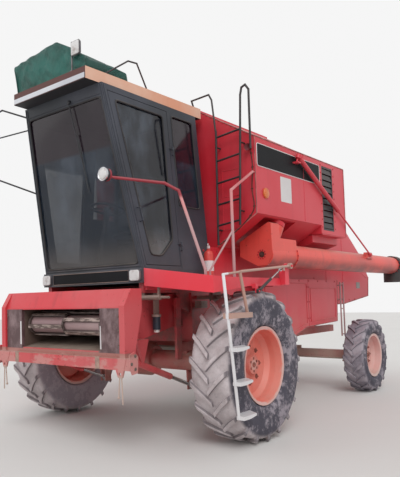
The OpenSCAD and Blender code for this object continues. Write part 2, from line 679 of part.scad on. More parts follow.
// Folded step on the front stile: its sides get lower towards the rear
module folded_step() difference() {
  intersection() {
    translate([0, 0, -step_h]) linear_extrude(height = step_h) polygon(step_plan);
    along_x(-step_depth, step_depth)
      polygon([[-20, -step_h - 1], [100, -step_h - 1], [310, -8], [310, 1], [-20, 1]]);
  }
  translate([0, 0, -step_h - step_t]) linear_extrude(height = step_h)
    offset(delta = -step_t) polygon(step_plan);
}
top_step_l = 372;
module access_ladder() placed() {
  color(steel) bar([ladder_x, stile_top.x, stile_top.y], [ladder_x, stile_foot.x, stile_foot.y], stile_d);
  color([0.55, 0.32, 0.26]) bar([ladder_x, -593, 1728], [ladder_x, -483, step_z0 + 3 * step_gap - 8], 32);
  color(steel) for (i = [0:2]) at_step(i) folded_step();
  // The top step hangs between both stiles
  color([0.70, 0.55, 0.48]) at_step(3) difference() {
    box([-45, -8, -50], [45, top_step_l, 0]);
    box([-45 + step_t, -8 + step_t, -55], [45 - step_t, top_step_l - step_t, -step_t]);
  }
  // Upper arm back to the pivot
  color(steel) difference() {
    union() {
      bar([ladder_x, -885, 1705], [ladder_x, -591, 1735], 22);
      bar([ladder_x, -591, 1737], [ladder_x, ladder_pin.x - 22, ladder_pin.y - 1], 28);
      rod_x(ladder_x - 18, ladder_x + 18, ladder_pin.x, ladder_pin.y, 32);
      box([ladder_x - 8, strut_top.x - 14, strut_top.y - 14],
          [ladder_x + 8, strut_top.x + 14, ladder_pin.y - 5]);
      rod_x(strut_x + 16, ladder_x, strut_top.x, strut_top.y, strut_pin_r);
    }
    rod_x(ladder_x - 30, ladder_x + 30, ladder_pin.x, ladder_pin.y, ladder_pin_r + pin_gap);
  }
}

// Gas strut under the ladder's arm: the tube turns on the platform, the rod slides in it
strut_vec = strut_top - strut_low;
strut_len = norm(strut_vec);
strut_angle = atan2(strut_vec.y, strut_vec.x);
module at_strut() {
  translate([strut_x, strut_low.x, strut_low.y]) rotate([strut_angle, 0, 0]) children();
}
strut_tube_len = 290;
strut_rod_r = 7;
module ladder_strut_tube() placed() color(dark) at_strut() {
  difference() {
    union() {
      translate([0, 24, 0]) rotate([-90, 0, 0]) cylinder(h = strut_tube_len - 24, r = 15);
      rod_x(-9, 9, 0, 0, 26);
    }
    rod_x(-20, 20, 0, 0, strut_pin_r + pin_gap);
    translate([0, 60, 0]) rotate([-90, 0, 0]) cylinder(h = strut_tube_len, r = strut_rod_r + pin_gap);
  }
}
module ladder_strut_rod() placed() color(steel) at_strut() {
  translate([0, 150, 0]) rotate([-90, 0, 0]) cylinder(h = strut_len - 150 - 14, r = strut_rod_r);
  difference() {
    rod_x(-10, 10, strut_len, 0, 20);
    rod_x(-20, 20, strut_len, 0, 10);
  }
}

// Feeder house

beam_hw = 1040;
catch_at = [908, 800];   // X and Z of the hole in a catch bracket
catch_r = 16;
module feeder_house() placed() color(red) {
  // Front frame round the mouth
  difference() {
    box([-feeder_hw, feeder_y, 945], [feeder_hw, feeder_y + 50, mouth_z1 + 12]);
    box([-mouth_hw, feeder_y - 10, mouth_z0], [mouth_hw, feeder_y + 60, mouth_z1]);
  }
  // Sloping top beam
  along_x(-feeder_hw + 30, feeder_hw - 30)
    polygon([[feeder_y, mouth_z1], [feeder_y + 80, 1600], [feeder_y + 200, 1600],
             [feeder_y + 200, 1570], [feeder_y + 60, mouth_z1]]);
  both() {
    along_x(feeder_hw - 70, feeder_hw)
      polygon([[feeder_y - 20, 945], [feeder_y - 20, 1440], [feeder_y + 80, 1600],
               [feeder_y + 230, 1600], [feeder_y + 230, 1400], [feeder_y + 110, 945]]);
    // Throat wall
    difference() {
      along_x(mouth_hw, mouth_hw + 18)
        polygon([[feeder_y + 40, 960], [feeder_y + 40, 1440], [feeder_pin.y - 40, 1550],
                 [feeder_pin.y + 30, 1530], [feeder_pin.y + 20, 1200]]);
      rod_x(mouth_hw - 10, mouth_hw + 40, drum_at.x, drum_at.y, drum_shaft_r + pin_gap);
    }
    // Stay from the throat to the side plate
    bar([mouth_hw + 10, feeder_y + 400, 1150], [feeder_hw - 35, feeder_y + 60, 1080], 30);
    // Pivot bosses
    difference() {
      rod_x(mouth_hw + 17, mouth_hw + 60, feeder_pin.y, feeder_pin.z, 60);
      rod_x(mouth_hw + 18, mouth_hw + 90, feeder_pin.y, feeder_pin.z, feeder_pin_r + pin_gap);
    }
    // Ears for the lift cylinder
    for (s = [-1, 1]) along_x(lift_x + s * 54 - 8, lift_x + s * 54 + 8)
      polygon([[lift_front.x - 120, 1080], [lift_front.x - 30, lift_front.y - 32],
               [lift_front.x + 30, lift_front.y - 32], [lift_front.x + 120, 1080]]);
    rod_x(lift_x - 68, lift_x + 68, lift_front.x, lift_front.y, lift_pin_r);
    box([mouth_hw + 1, lift_front.x - 110, 1060], [lift_x + 61, lift_front.x + 110, 1085]);
    // Hanging bracket for the header's catch
    difference() {
      along_y(feeder_y - 30, feeder_y - 10)
        polygon([[catch_at.x - 100, 950], [catch_at.x + 82, 950], [catch_at.x + 27, catch_at.y - 34],
                 [catch_at.x - 27, catch_at.y - 34]]);
      translate([catch_at.x, feeder_y, catch_at.y]) rotate([90, 0, 0]) cylinder(h = 60, r = catch_r);
    }
  }
  // Floor and top of the throat
  along_x(-mouth_hw - 1, mouth_hw + 1)
    polygon([[feeder_y + 40, 990], [feeder_y + 40, mouth_z0], [feeder_pin.y + 20, 1220],
             [feeder_pin.y + 20, 1206]]);
  along_x(-mouth_hw - 1, mouth_hw + 1)
    polygon([[feeder_y + 40, 1426], [feeder_y + 40, 1440], [feeder_pin.y - 40, 1548],
             [feeder_pin.y - 40, 1534]]);
  // Box beam under the mouth, with a plate at each end
  box([-beam_hw, feeder_y - 25, 835], [beam_hw, feeder_y + 45, 950]);
  both() {
    along_x(beam_hw - 1, beam_hw + 12)
      polygon([[feeder_y - 45, 870], [feeder_y - 45, 985], [feeder_y + 20, 1010], [feeder_y + 75, 960],
               [feeder_y + 60, 810], [feeder_y - 10, 800]]);
    // Latch rods under the catch, the inner one with a knob
    bar([catch_at.x - 12, feeder_y - 20, catch_at.y - 24], [catch_at.x - 30, feeder_y - 20, 580], 12);
    translate([catch_at.x - 30, feeder_y - 20, 580]) sphere(d = 26, $fn = 24);
    bar([catch_at.x + 12, feeder_y - 20, catch_at.y - 24], [catch_at.x + 22, feeder_y - 20, 520], 12);
    // Brace from the side plate to the lift cylinder's ear
    bar([lift_x + 58, lift_front.x + 15, lift_front.y + 10], [feeder_hw - 40, feeder_y + 155, 1165], 26);
  }
}

// Conveyor chains round the drum
rear_drum_at = [feeder_pin.y - 190, 1410];
chain_r = drum_r + run_gap;
chain_t = 14;
rear_drum_r = 80;
chain_vec = rear_drum_at - drum_at;
chain_links = 12;   // links round half a drum
// Corner radii of the loop, whose flat links lie just clear of the rear drum
rear_chain_r = (rear_drum_r + seat_gap) / cos(90 / chain_links);
loop_r0 = chain_r + chain_t;
loop_r1 = rear_chain_r + chain_t;
// Outline round two drums, r0 at the origin and r1 at a distance d along X
function loop_points(d, r0, r1) = concat(
  [for (i = [0:chain_links]) let (a = 90 + 180 * i / chain_links) [r0 * cos(a), r0 * sin(a)]],
  [for (i = [0:chain_links]) let (a = 180 * i / chain_links - 90) [d + r1 * cos(a), r1 * sin(a)]]);
module at_chain(x) {
  translate([x, drum_at.x, drum_at.y]) rotate([atan2(chain_vec.y, chain_vec.x), 0, 0])
    rotate([90, 0, 90]) children();
}
module chain_loop(x) at_chain(x - 14) linear_extrude(height = 28) difference() {
  polygon(loop_points(norm(chain_vec), loop_r0, loop_r1));
  polygon(loop_points(norm(chain_vec), chain_r, rear_chain_r));
}
// Slats across the chains, staggered by half a pitch on the two sides of the middle chain
slat_len = 564;
slat_w = 40;
slat_sink = 10;    // how deep a slat sits in the chain
slat_h = 20;
slat_pitch = 145;
slat_turn = slat_pitch / loop_r0 * 180 / PI;   // pitch round the front drum, in degrees
module slat() { translate([-slat_sink, -slat_w / 2, 0]) cube([slat_h, slat_w, slat_len]); }
module slats(x0, turns, first) {
  at_chain(x0) for (a = turns) rotate([0, 0, 180 + a * slat_turn]) translate([loop_r0, 0, 0]) slat();
  at_chain(x0) for (side = [-1, 1], s = [first:slat_pitch:norm(chain_vec) - slat_w])
    translate([s, side * (loop_r0 + (loop_r1 - loop_r0) * s / norm(chain_vec)), 0])
      rotate([0, 0, side * 90]) slat();
}
module feeder_chain() placed() color([0.35, 0.27, 0.24]) {
  for (x = [-560, 0, 560]) chain_loop(x);
  slats(-slat_len - 6, [-1, 0, 1], 109);
  slats(6, [-0.5, 0.5], 37);
  // Rear drum
  rod_x(-mouth_hw + seat_gap, mouth_hw - seat_gap, rear_drum_at.x, rear_drum_at.y,
        rear_drum_r);
}
module feeder_drum() placed() color([0.36, 0.25, 0.22]) {
  rod_x(-mouth_hw + 20, mouth_hw - 20, drum_at.x, drum_at.y, drum_r);
  rod_x(-mouth_hw - 60, mouth_hw + 60, drum_at.x, drum_at.y, drum_shaft_r);
}

// Lift cylinders: the tube turns on the feeder, the rod slides in it
lift_vec = lift_rear - lift_front;
lift_len = norm(lift_vec);
lift_angle = atan2(lift_vec.y, lift_vec.x);
lift_tube_len = 570;
lift_tube_r = 34;
lift_rod_r = 20;
module at_lift(s) {
  translate([s * lift_x, lift_front.x, lift_front.y]) rotate([lift_angle, 0, 0]) children();
}
module lift_tube(s) at_lift(s) difference() {
  union() {
    rod_x(-30, 30, 0, 0, 36);
    translate([0, 25, 0]) rotate([-90, 0, 0]) cylinder(h = lift_tube_len - 25, r = lift_tube_r);
  }
  rod_x(-50, 50, 0, 0, lift_pin_r + pin_gap);
  translate([0, 90, 0]) rotate([-90, 0, 0]) cylinder(h = lift_tube_len, r = lift_rod_r + pin_gap);
}
module lift_rod(s) at_lift(s) {
  translate([0, 440, 0]) rotate([-90, 0, 0]) cylinder(h = lift_len - 440 - 30, r = lift_rod_r);
  difference() {
    rod_x(-27, 27, lift_len, 0, 38);
    rod_x(-50, 50, lift_len, 0, 22);
  }
}
module lift_tube_left() placed() color(red) lift_tube(1);
module lift_tube_right() placed() color(red) lift_tube(-1);
module lift_rod_left() placed() color(steel) lift_rod(1);
module lift_rod_right() placed() color(steel) lift_rod(-1);

// Unloading auger

elbow_y0 = 800;
elbow_y1 = 1450;
stay_low = [stay_pin.x, 3945, 2120];
// X of the swing axis at a height
function swing_x(z) = swing_at.x + (z - swing_at.z) * swing_dir.x / swing_dir.z;
elbow_foot = [[tube_x + tube_r - 4, tube_z], [tube_x + 80, tube_z - tube_r + 20],
              [1130, tube_z - tube_r + 14], [890, 1990]];
module auger_tube() placed() color(orange_red) {
  difference() {
    union() {
      // Casing of the elbow, with its neck under the swivel collar
      along_y(elbow_y0, elbow_y0 + 210) polygon(concat([
        [894, 2176], [swing_x(2385) + 90, 2385], [swing_x(2370) + 128, 2370]], elbow_foot));
      along_y(elbow_y0 + 209, elbow_y1) polygon(concat([
        [894, 2176], [940, 2200], [swing_x(2200) + 156, 2200]], elbow_foot));
      at_swing() rotate([0, 0, 40]) translate([0, 0, 150]) cylinder(h = neck_top - 150, r = neck_r);
      translate([tube_x, elbow_y0 + 12, tube_z]) rotate([-90, 0, 0])
        cylinder(h = tube_y1 - elbow_y0 - 12, r = tube_r);
      // Flange between the elbow and the tube
      translate([tube_x, elbow_y1 - 1, tube_z]) rotate([-90, 0, 0]) cylinder(h = 17, r = tube_r + 12);
      // Bracket of the stay
      along_x(tube_x + 90, stay_pin.x - 13 - seat_gap)
        polygon([[3840, 2060], [3890, 2160], [4000, 2160], [4090, 2060]]);
    }
    translate([tube_x, elbow_y1 + 200, tube_z]) rotate([-90, 0, 0])
      cylinder(h = tube_y1 - elbow_y1, r = tube_r - 8);
    // Bearing hole of the auger's shaft
    translate([tube_x, elbow_y0 - 5, tube_z]) rotate([-90, 0, 0]) cylinder(h = 60, r = 38);
  }
  rod_x(stay_pin.x - 20, stay_pin.x + 30, stay_low.y, stay_low.z, stay_pin_r);
}

module auger_stay() placed() color(red) {
  v = stay_low - stay_pin;
  bar(stay_pin + v * 0.011, stay_pin + v * 0.5, 62);
  difference() {
    union() {
      bar(stay_pin + v * 0.49, stay_low, 24);
      rod_x(stay_pin.x - 13, stay_pin.x + 20, stay_low.y, stay_low.z, 32);
    }
    rod_x(stay_pin.x - 40, stay_pin.x + 50, stay_low.y, stay_low.z, stay_pin_r + pin_gap);
  }
  difference() {
    at_swing() translate([0, 0, swing_len - 26]) cylinder(h = 52, r = 36);
    at_swing() translate([0, 0, swing_len - 60]) cylinder(h = 120, r = stay_pin_r + pin_gap);
  }
}

module auger_spout() placed() color(dark) difference() {
  union() {
    translate([tube_x, tube_y1 - 60, tube_z]) rotate([-90, 0, 0]) cylinder(h = 200, r = tube_r + 22);
    translate([tube_x, tube_y1 + spout_drop, tube_z - 300]) cylinder(h = 300, r = tube_r + spout_wall);
  }
  translate([tube_x, tube_y1 - 120, tube_z]) rotate([-90, 0, 0]) cylinder(h = 230, r = tube_r + seat_gap);
  translate([tube_x, tube_y1 + spout_drop, tube_z - 310]) cylinder(h = 310, r = tube_r - spout_wall);
}

// Wheels

// Tyre round the X axis, with its lugs pointing so that the V meets the ground first
module tyre(r, w, bead_r, lugs, lug_h) {
  hw = w / 2;
  body_r = r - lug_h;
  rotate([0, 90, 0]) rotate_extrude($fn = 64) polygon([for (s = [-1, 1]) each (
    let (half = [[bead_r + seat_gap, hw - 52], [bead_r + 26, hw - 50], [bead_r + 60, hw - 14],
                 [(bead_r + body_r) / 2, hw], [body_r - 62, hw - 8], [body_r - 18, hw - 34],
                 [body_r - 3, hw - 95], [body_r, 0]])
      s < 0 ? [for (p = half) [p[0], -p[1]]] : [for (i = [len(half) - 2:-1:0]) half[i]])]);
  run = hw * 0.95;
  intersection() {
    rod_x(-w, w, 0, 0, r);
    for (side = [-1, 1], i = [0:lugs - 1])
      rotate([(i + (side > 0 ? 0.5 : 0)) * 360 / lugs, 0, 0]) mirror([side > 0 ? 0 : 1, 0, 0])
        translate([0, 0, body_r - 50]) linear_extrude(height = 62 + lug_h)
          polygon([[-8, -run / 2], [hw - 6, run / 2 - 22], [hw - 6, run / 2 + 28], [-8, -run / 2 + 46]]);
  }
}

// Dished rim with its hub. The dish is open to the outer side
module rim(w, bead_r, disc_x, hub_r, bore_r, bore_x, cap_x) {
  hw = w / 2;
  fl = bead_r + 24;
  difference() {
    rotate([0, 90, 0]) rotate_extrude($fn = 64) polygon([
      [bead_r - 12, -hw + 38], [fl, -hw + 30], [fl, -hw + 40], [bead_r, -hw + 50], [bead_r - 14, -hw + 110],
      [bead_r - 14, hw - 110], [bead_r, hw - 50], [fl, hw - 40], [fl, hw - 30], [bead_r - 12, hw - 38],
      [bead_r - 26, hw - 112], [bead_r - 26, disc_x + 60], [bead_r - 70, disc_x + 12],
      [hub_r + 60, disc_x + 14], [hub_r + 20, disc_x + 34], [hub_r, cap_x], [0, cap_x],
      [0, disc_x - 60], [hub_r, disc_x - 60], [hub_r, disc_x], [hub_r + 50, disc_x - 2],
      [bead_r - 70, disc_x - 4], [bead_r - 26, disc_x + 40], [bead_r - 26, -hw + 112]]);
    rod_x(-400, bore_x, 0, 0, bore_r);
  }
}

steer_stub_r = 30;
module at_drive(s) { translate([s * drive_track, 0, drive_r]) children(); }
module at_steer(s) { translate([s * steer_track, wheelbase, steer_r]) children(); }
module side_of(s) { if (s > 0) children(); else mirror([1, 0, 0]) children(); }

module drive_tyre(s) at_drive(s) tyre(drive_r, drive_w, drive_bead_r, drive_lugs, drive_lug_h);
module steer_tyre(s) at_steer(s) tyre(steer_r, steer_w, steer_bead_r, steer_lugs, steer_lug_h);
module drive_rim(s) at_drive(s) side_of(s)
  rim(drive_w, drive_bead_r, 0, 95, drive_stub_r + pin_gap, 0, 70);
module steer_rim(s) at_steer(s) side_of(s)
  rim(steer_w, steer_bead_r, -10, 62, steer_stub_r + pin_gap, -14, 40);

module drive_tyre_left() placed() color(dark) drive_tyre(1);
module drive_tyre_right() placed() color(dark) drive_tyre(-1);
module steer_tyre_left() placed() color(dark) steer_tyre(1);
module steer_tyre_right() placed() color(dark) steer_tyre(-1);
module drive_rim_left() placed() color(orange_red) drive_rim(1);
module drive_rim_right() placed() color(orange_red) drive_rim(-1);
module steer_rim_left() placed() color([0.85, 0.45, 0.45]) steer_rim(1);
module steer_rim_right() placed() color([0.85, 0.45, 0.45]) steer_rim(-1);

// Rear axle and steering

kingpin_r = 22;
beam_z = steer_r;
module rear_axle() placed() color(red) {
  box([-kingpin_x + 70, wheelbase - 60, beam_z - 60], [kingpin_x - 70, wheelbase + 60, beam_z + 60]);
  both() {
    // Kingpin eye
    difference() {
      union() {
        translate([kingpin_x, wheelbase, beam_z - 60]) cylinder(h = 120, r = 52);
        box([kingpin_x - 80, wheelbase - 45, beam_z - 60], [kingpin_x - 30, wheelbase + 45, beam_z + 60]);
      }
      translate([kingpin_x, wheelbase, beam_z - 70]) cylinder(h = 140, r = kingpin_r + pin_gap);
    }
  }
  // Centre pivot under the frame
  box([-90, wheelbase - 58, beam_z + 59], [90, wheelbase + 58, rail_z0 + 20 - seat_gap]);
  both() box([80, wheelbase - 40, beam_z + 59], [200, wheelbase + 40, beam_z + 110]);
}

// Knuckle: a fork over and under the axle's eye, its pin, the wheel's stub and the steering arm
arm_len = 200;
arm_pin_r = 10;
module knuckle(s) side_of(s) {
  for (z = [beam_z - 60 - run_gap - 30, beam_z + 60 + run_gap])
    box([kingpin_x - 40, wheelbase - 45, z], [kingpin_x + 84, wheelbase + 45, z + 30]);
  box([kingpin_x + 60, wheelbase - 45, beam_z - 96], [kingpin_x + 84, wheelbase + 45, beam_z + 96]);
  translate([kingpin_x, wheelbase, beam_z - 96]) cylinder(h = 192, r = kingpin_r);
  rod_x(kingpin_x + 80, steer_track - 78, wheelbase, beam_z, 46);
  rod_x(kingpin_x + 120, steer_track - 30, wheelbase, beam_z, steer_stub_r);
  // Steering arm with the pin of the tie rod
  box([kingpin_x - 30, wheelbase - arm_len - 30, beam_z - 96], [kingpin_x + 30, wheelbase - 40, beam_z - 72]);
  translate([kingpin_x, wheelbase - arm_len, beam_z - 80]) cylinder(h = 50, r = arm_pin_r);
}
module knuckle_left() placed() color(red) knuckle(1);
module knuckle_right() placed() color(red) knuckle(-1);

module tie_rod() placed() color(steel) {
  both() difference() {
    translate([kingpin_x, wheelbase - arm_len, beam_z - 66]) cylinder(h = 30, r = 24);
    translate([kingpin_x, wheelbase - arm_len, beam_z - 78]) cylinder(h = 60, r = arm_pin_r + pin_gap);
  }
  rod_x(-kingpin_x + 19, kingpin_x - 19, wheelbase - arm_len, beam_z - 51, 12);
}

chassis_frame();
drive_axle();
threshing_body();
cleaning_shoe();
straw_hood();
side_shields();
grain_tank();
tank_ladder();
engine_block();
engine_cover();
engine_grilles();
cab_base();
cab_shell();
cab_glass();
cab_roof();
roof_canvas();
lamps();
mirror_right();
seat();
steering_column();
platform();
handrails();
hydraulics();
cab_door();
door_glass();
access_ladder();
ladder_strut_tube();
ladder_strut_rod();
feeder_house();
feeder_chain();
feeder_drum();
lift_tube_left();
lift_rod_left();
lift_tube_right();
lift_rod_right();
auger_tube();
auger_stay();
auger_spout();
drive_tyre_left();
drive_tyre_right();
drive_rim_left();
drive_rim_right();
rear_axle();
knuckle_left();
knuckle_right();
tie_rod();
steer_tyre_left();
steer_tyre_right();
steer_rim_left();
steer_rim_right();
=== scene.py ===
import random
from math import cos, exp, radians, sin, tau

import bmesh
import bpy
from mathutils import Matrix, Vector, noise


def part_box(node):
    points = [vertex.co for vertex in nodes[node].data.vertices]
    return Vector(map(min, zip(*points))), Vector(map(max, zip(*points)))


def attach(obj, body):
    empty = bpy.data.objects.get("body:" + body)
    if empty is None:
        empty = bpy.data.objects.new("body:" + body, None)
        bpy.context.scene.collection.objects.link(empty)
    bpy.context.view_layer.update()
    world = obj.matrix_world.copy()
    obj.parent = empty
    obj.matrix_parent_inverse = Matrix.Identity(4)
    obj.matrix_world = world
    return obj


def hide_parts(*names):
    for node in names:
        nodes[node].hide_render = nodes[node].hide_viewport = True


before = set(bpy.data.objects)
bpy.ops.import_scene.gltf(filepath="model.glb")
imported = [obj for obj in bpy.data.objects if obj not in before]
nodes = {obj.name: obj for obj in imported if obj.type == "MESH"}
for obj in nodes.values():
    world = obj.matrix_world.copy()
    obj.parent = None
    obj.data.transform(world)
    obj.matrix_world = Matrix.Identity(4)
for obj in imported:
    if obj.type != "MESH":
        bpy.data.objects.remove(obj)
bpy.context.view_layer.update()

random.seed(7)
scene = bpy.context.scene

# The CAD origin lies under the middle of the machine. Positions below are measured from the drive
# axle's centreline on the ground, x to the machine's left, y to its rear, in metres.
ORIGIN = Vector((0.068, 2.11, 0.0))


def add_object(name, data):
    obj = bpy.data.objects.new(name, data)
    scene.collection.objects.link(obj)
    return obj


# Camera

CAMERA_AT = (4.657, -5.304, 1.49)
YAW, PITCH, ROLL = 0.71212, 0.06392, -0.02452
FOCAL_PX, CENTRE_PX, IMAGE_PX = 572.78, (148.64, 262.94), (400, 477)

forward = Vector((-sin(YAW) * cos(PITCH), cos(YAW) * cos(PITCH), sin(PITCH)))
level = Vector((cos(YAW), sin(YAW), 0))
above = level.cross(forward)
right = level * cos(ROLL) + above * sin(ROLL)
upward = above * cos(ROLL) - level * sin(ROLL)
lens = bpy.data.cameras.new("camera")
lens.sensor_fit = "VERTICAL"
lens.sensor_height = 36
lens.lens = FOCAL_PX / IMAGE_PX[1] * 36
lens.shift_x = (IMAGE_PX[0] / 2 - CENTRE_PX[0]) / IMAGE_PX[1]
lens.shift_y = (CENTRE_PX[1] - IMAGE_PX[1] / 2) / IMAGE_PX[1]
lens.clip_end = 200
camera = add_object("camera", lens)
turned = Matrix((right, upward, -forward)).transposed().to_4x4()
camera.matrix_world = Matrix.Translation(Vector(CAMERA_AT) - ORIGIN) @ turned
scene.camera = camera

# Materials


def rgb(r, g, b):
    """A linear colour from its sRGB bytes."""
    shares = (c / 255 for c in (r, g, b))
    return tuple(c / 12.92 if c < 0.04 else ((c + 0.055) / 1.055) ** 2.4 for c in shares) + (1,)


DUST = rgb(176, 160, 146)
RUST = rgb(112, 66, 46)
DARK_RUST = rgb(74, 48, 40)


class Nodes:
    """A node tree that is built from a few named steps."""

    def __init__(self, owner):
        owner.use_nodes = True
        self.tree = owner.node_tree

    def put(self, node, inputs):
        """Sets a node's inputs, each to a value or to another node's output."""
        for key, value in inputs.items():
            if isinstance(value, bpy.types.NodeSocket):
                self.tree.links.new(value, node.inputs[key])
            else:
                node.inputs[key].default_value = value

    def new(self, kind, inputs=None, **settings):
        node = self.tree.nodes.new("ShaderNode" + kind)
        for key, value in settings.items():
            setattr(node, key, value)
        self.put(node, inputs or {})
        return node

    def maths(self, operation, a, b=0.0, clamp=False):
        return self.new("Math", {0: a, 1: b}, operation=operation, use_clamp=clamp).outputs[0]

    def times(self, a, *more):
        for b in more:
            a = self.maths("MULTIPLY", a, b)
        return a

    def plus(self, a, b):
        return self.maths("ADD", a, b, True)

    def less(self, a, b):
        return self.maths("SUBTRACT", a, b)


class Shader(Nodes):
    """A node material. Places are the mesh's own coordinates."""

    def __init__(self, name):
        self.mat = bpy.data.materials.new(name)
        super().__init__(self.mat)
        self.bsdf = self.tree.nodes["Principled BSDF"]
        self.place = self.new("TexCoord").outputs["Object"]
        self.parts = None

    def noise(self, scale, detail=4, rough=0.55, stretch=(1, 1, 1), shift=0.0):
        moved = self.new("Mapping", {"Vector": self.place, "Scale": stretch,
            "Location": (shift, shift * 1.7, shift * 0.6)}).outputs[0]
        inputs = {"Vector": moved, "Scale": scale, "Detail": detail, "Roughness": rough}
        return self.new("TexNoise", inputs).outputs["Fac"]

    def band(self, value, low, high):
        """0 below low and 1 above high, or the other way round where low is the larger."""
        rises = 1 if low < high else 0
        inputs = {"Value": value, "From Min": min(low, high), "From Max": max(low, high),
            "To Min": 1 - rises, "To Max": rises}
        return self.new("MapRange", inputs, interpolation_type="SMOOTHSTEP").outputs[0]

    def between(self, value, low, high, soft):
        return self.times(self.band(value, low - soft, low), self.band(value, high + soft, high))

    def mix(self, share, a, b):
        return self.new("Mix", {0: share, 6: a, 7: b}, data_type="RGBA").outputs[2]

    def split(self, vector):
        return self.new("SeparateXYZ", {0: vector}).outputs

    def axes(self):
        """x, y and z of the place, from the drive axle's centreline on the ground."""
        if not self.parts:
            pairs = zip(self.split(self.place), ORIGIN)
            self.parts = [self.maths("ADD", part, shift) for part, shift in pairs]
        return self.parts

    def radius(self, y, z):
        return self.maths("SQRT", self.maths("ADD", self.times(y, y), self.times(z, z)))

    def radius_about(self, y, z):
        """Distance from a line along X, given by its y and z."""
        parts = self.axes()
        return self.radius(self.less(parts[1], y), self.less(parts[2], z))

    def facing(self, axis):
        return self.split(self.new("NewGeometry").outputs["Normal"])[axis]

    def bump(self, height, strength=0.3, distance=0.004):
        bump = self.new("Bump", {"Strength": strength, "Distance": distance, "Height": height})
        self.put(self.bsdf, {"Normal": bump.outputs[0]})

    def finish(self, color, rough, metallic=0.0):
        self.put(self.bsdf, {"Base Color": color, "Roughness": rough, "Metallic": metallic})
        return self.mat


def dress(mat, on):
    """Puts a material on CAD nodes, given as the names in one string."""
    for name in on.split():
        nodes[name].data.materials.clear()
        nodes[name].data.materials.append(mat)
    return mat


def weathered(name, base, faded, on="", rough=0.42, dust=0.6, rust=0.4, low=1.7, metallic=0.0, grain=0.2,
        streaks=0.2, spot=0.86, extra=None):
    """Old paint or metal on some CAD nodes. It fades in patches, runs in streaks, gathers dust on top and
    below the height low, and rusts in spots, of which there are more with a lower spot. extra adds marks
    before the dust and rust."""
    s = Shader(name)
    base, faded = rgb(*base), rgb(*faded)
    large, fine = s.noise(0.8, 5), s.noise(38, 6, 0.65)
    color = s.mix(s.band(large, 0.36, 0.68), base, faded)
    run = s.times(s.band(s.noise(7, 6, 0.6, (1, 1, 0.08), 3), 0.52, 0.76), streaks)
    color = s.mix(run, color, tuple(c * 0.5 for c in base[:3]) + (1,))
    if extra:
        color = extra(s, color)
    z = s.axes()[2]
    lying = s.band(s.facing(2), 0.45, 0.95)
    patchy = s.band(s.noise(3.1, 6, 0.6, shift=5), 0.3, 0.72)
    settled = s.plus(s.times(s.band(z, low, 0.25), 0.85), s.times(lying, 0.75))
    veil = s.times(settled, s.plus(patchy, 0.22), dust)
    color = s.mix(veil, color, DUST)
    zone = s.maths("ADD", s.noise(26, 8, 0.72, shift=9), s.times(s.noise(1.3, 3, shift=2), 0.32))
    chip = s.times(s.band(zone, spot, spot + 0.035), rust)
    color = s.mix(chip, color, s.mix(fine, DARK_RUST, RUST))
    s.bump(s.plus(s.times(fine, 0.5), chip), grain, 0.003)
    if metallic:
        metallic = s.times(metallic, s.less(1.0, s.plus(veil, chip)))
    rough = s.plus(s.plus(rough, s.times(veil, 0.4)), s.times(chip, 0.35))
    return dress(s.finish(color, rough, metallic), on)


def flank_highlight_and_cab_shade(s, color):
    """The flanks turn a paler pinkish red towards the rear, a painted highlight of the sunlit side, and
    patchy painted shade, partly dirt, darkens the body under the cab.
    """
    _, y, z = s.axes()
    # Painted highlight: a paler pinkish red towards the rear stands for the light on the sunlit flanks.
    color = s.mix(s.times(s.band(y, 0.2, 4.6), 0.5), color, rgb(216, 84, 96))
    # Painted shade, partly dirt: patchy dark brown on the body under the cab.
    patch = s.plus(s.times(s.band(s.noise(4.5, 6, 0.7, shift=6), 0.4, 0.62), 0.55), 0.25)
    cab_shade_and_grime = s.times(s.band(y, 0.35, -0.1), s.band(z, 1.78, 1.64), patch)
    return s.mix(cab_shade_and_grime, color, rgb(96, 58, 54))


red = weathered("red_paint", (204, 38, 53), (208, 62, 74),
    "threshing_body straw_hood side_shields grain_tank engine_cover auger_stay", extra=flank_highlight_and_cab_shade)
weathered("red_apron_paint", (228, 50, 66), (226, 84, 97), "platform", dust=0.4, streaks=0.12)
weathered("red_worn_paint", (178, 40, 46), (184, 88, 84), "chassis_frame drive_axle", dust=0.85, rust=0.6,
    spot=0.8, low=1.5)


def auger_shade_and_dusty_highlight(s, color):
    """The tube's lower side is darkened in patches as painted shade, and its upper side turns paler, partly
    dust and partly painted highlight.
    """
    patch = s.plus(s.band(s.noise(5, 5, 0.6, (1, 0.5, 1), 3), 0.3, 0.7), 0.35)
    # Painted shade on the downward faces, broken up by patches.
    under = s.times(s.band(s.facing(2), 0.15, -0.75), patch, 0.7)
    color = s.mix(under, color, rgb(118, 48, 48))
    # Upward faces turn paler: dust with a painted highlight.
    return s.mix(s.times(s.band(s.facing(2), 0.6, 1.0), 0.35), color, rgb(186, 120, 108))


weathered("auger_paint", (230, 82, 72), (200, 82, 76), "auger_tube", rust=0.6, spot=0.81, streaks=0.3,
    low=2.4, extra=auger_shade_and_dusty_highlight)


def rail_marks(s, color):
    """The rail's forward arm keeps its darker red, and the rest is bleached."""
    _, y, z = s.axes()
    arm = s.times(s.band(y, -0.8, -0.86), s.band(z, 2.45, 2.5))
    color = s.mix(s.times(s.band(z, 2.4, 2.2), 0.7), color, rgb(176, 148, 150))
    return s.mix(arm, color, rgb(150, 42, 54))


weathered("handrail_paint", (202, 84, 90), (214, 150, 150), "handrails", rust=0.5, spot=0.84, dust=0.3,
    streaks=0.1, extra=rail_marks)
weathered("axle_paint", (178, 84, 84), (186, 136, 130), "rear_axle knuckle_left knuckle_right", dust=0.9,
    rust=0.5, spot=0.8, low=2.0)


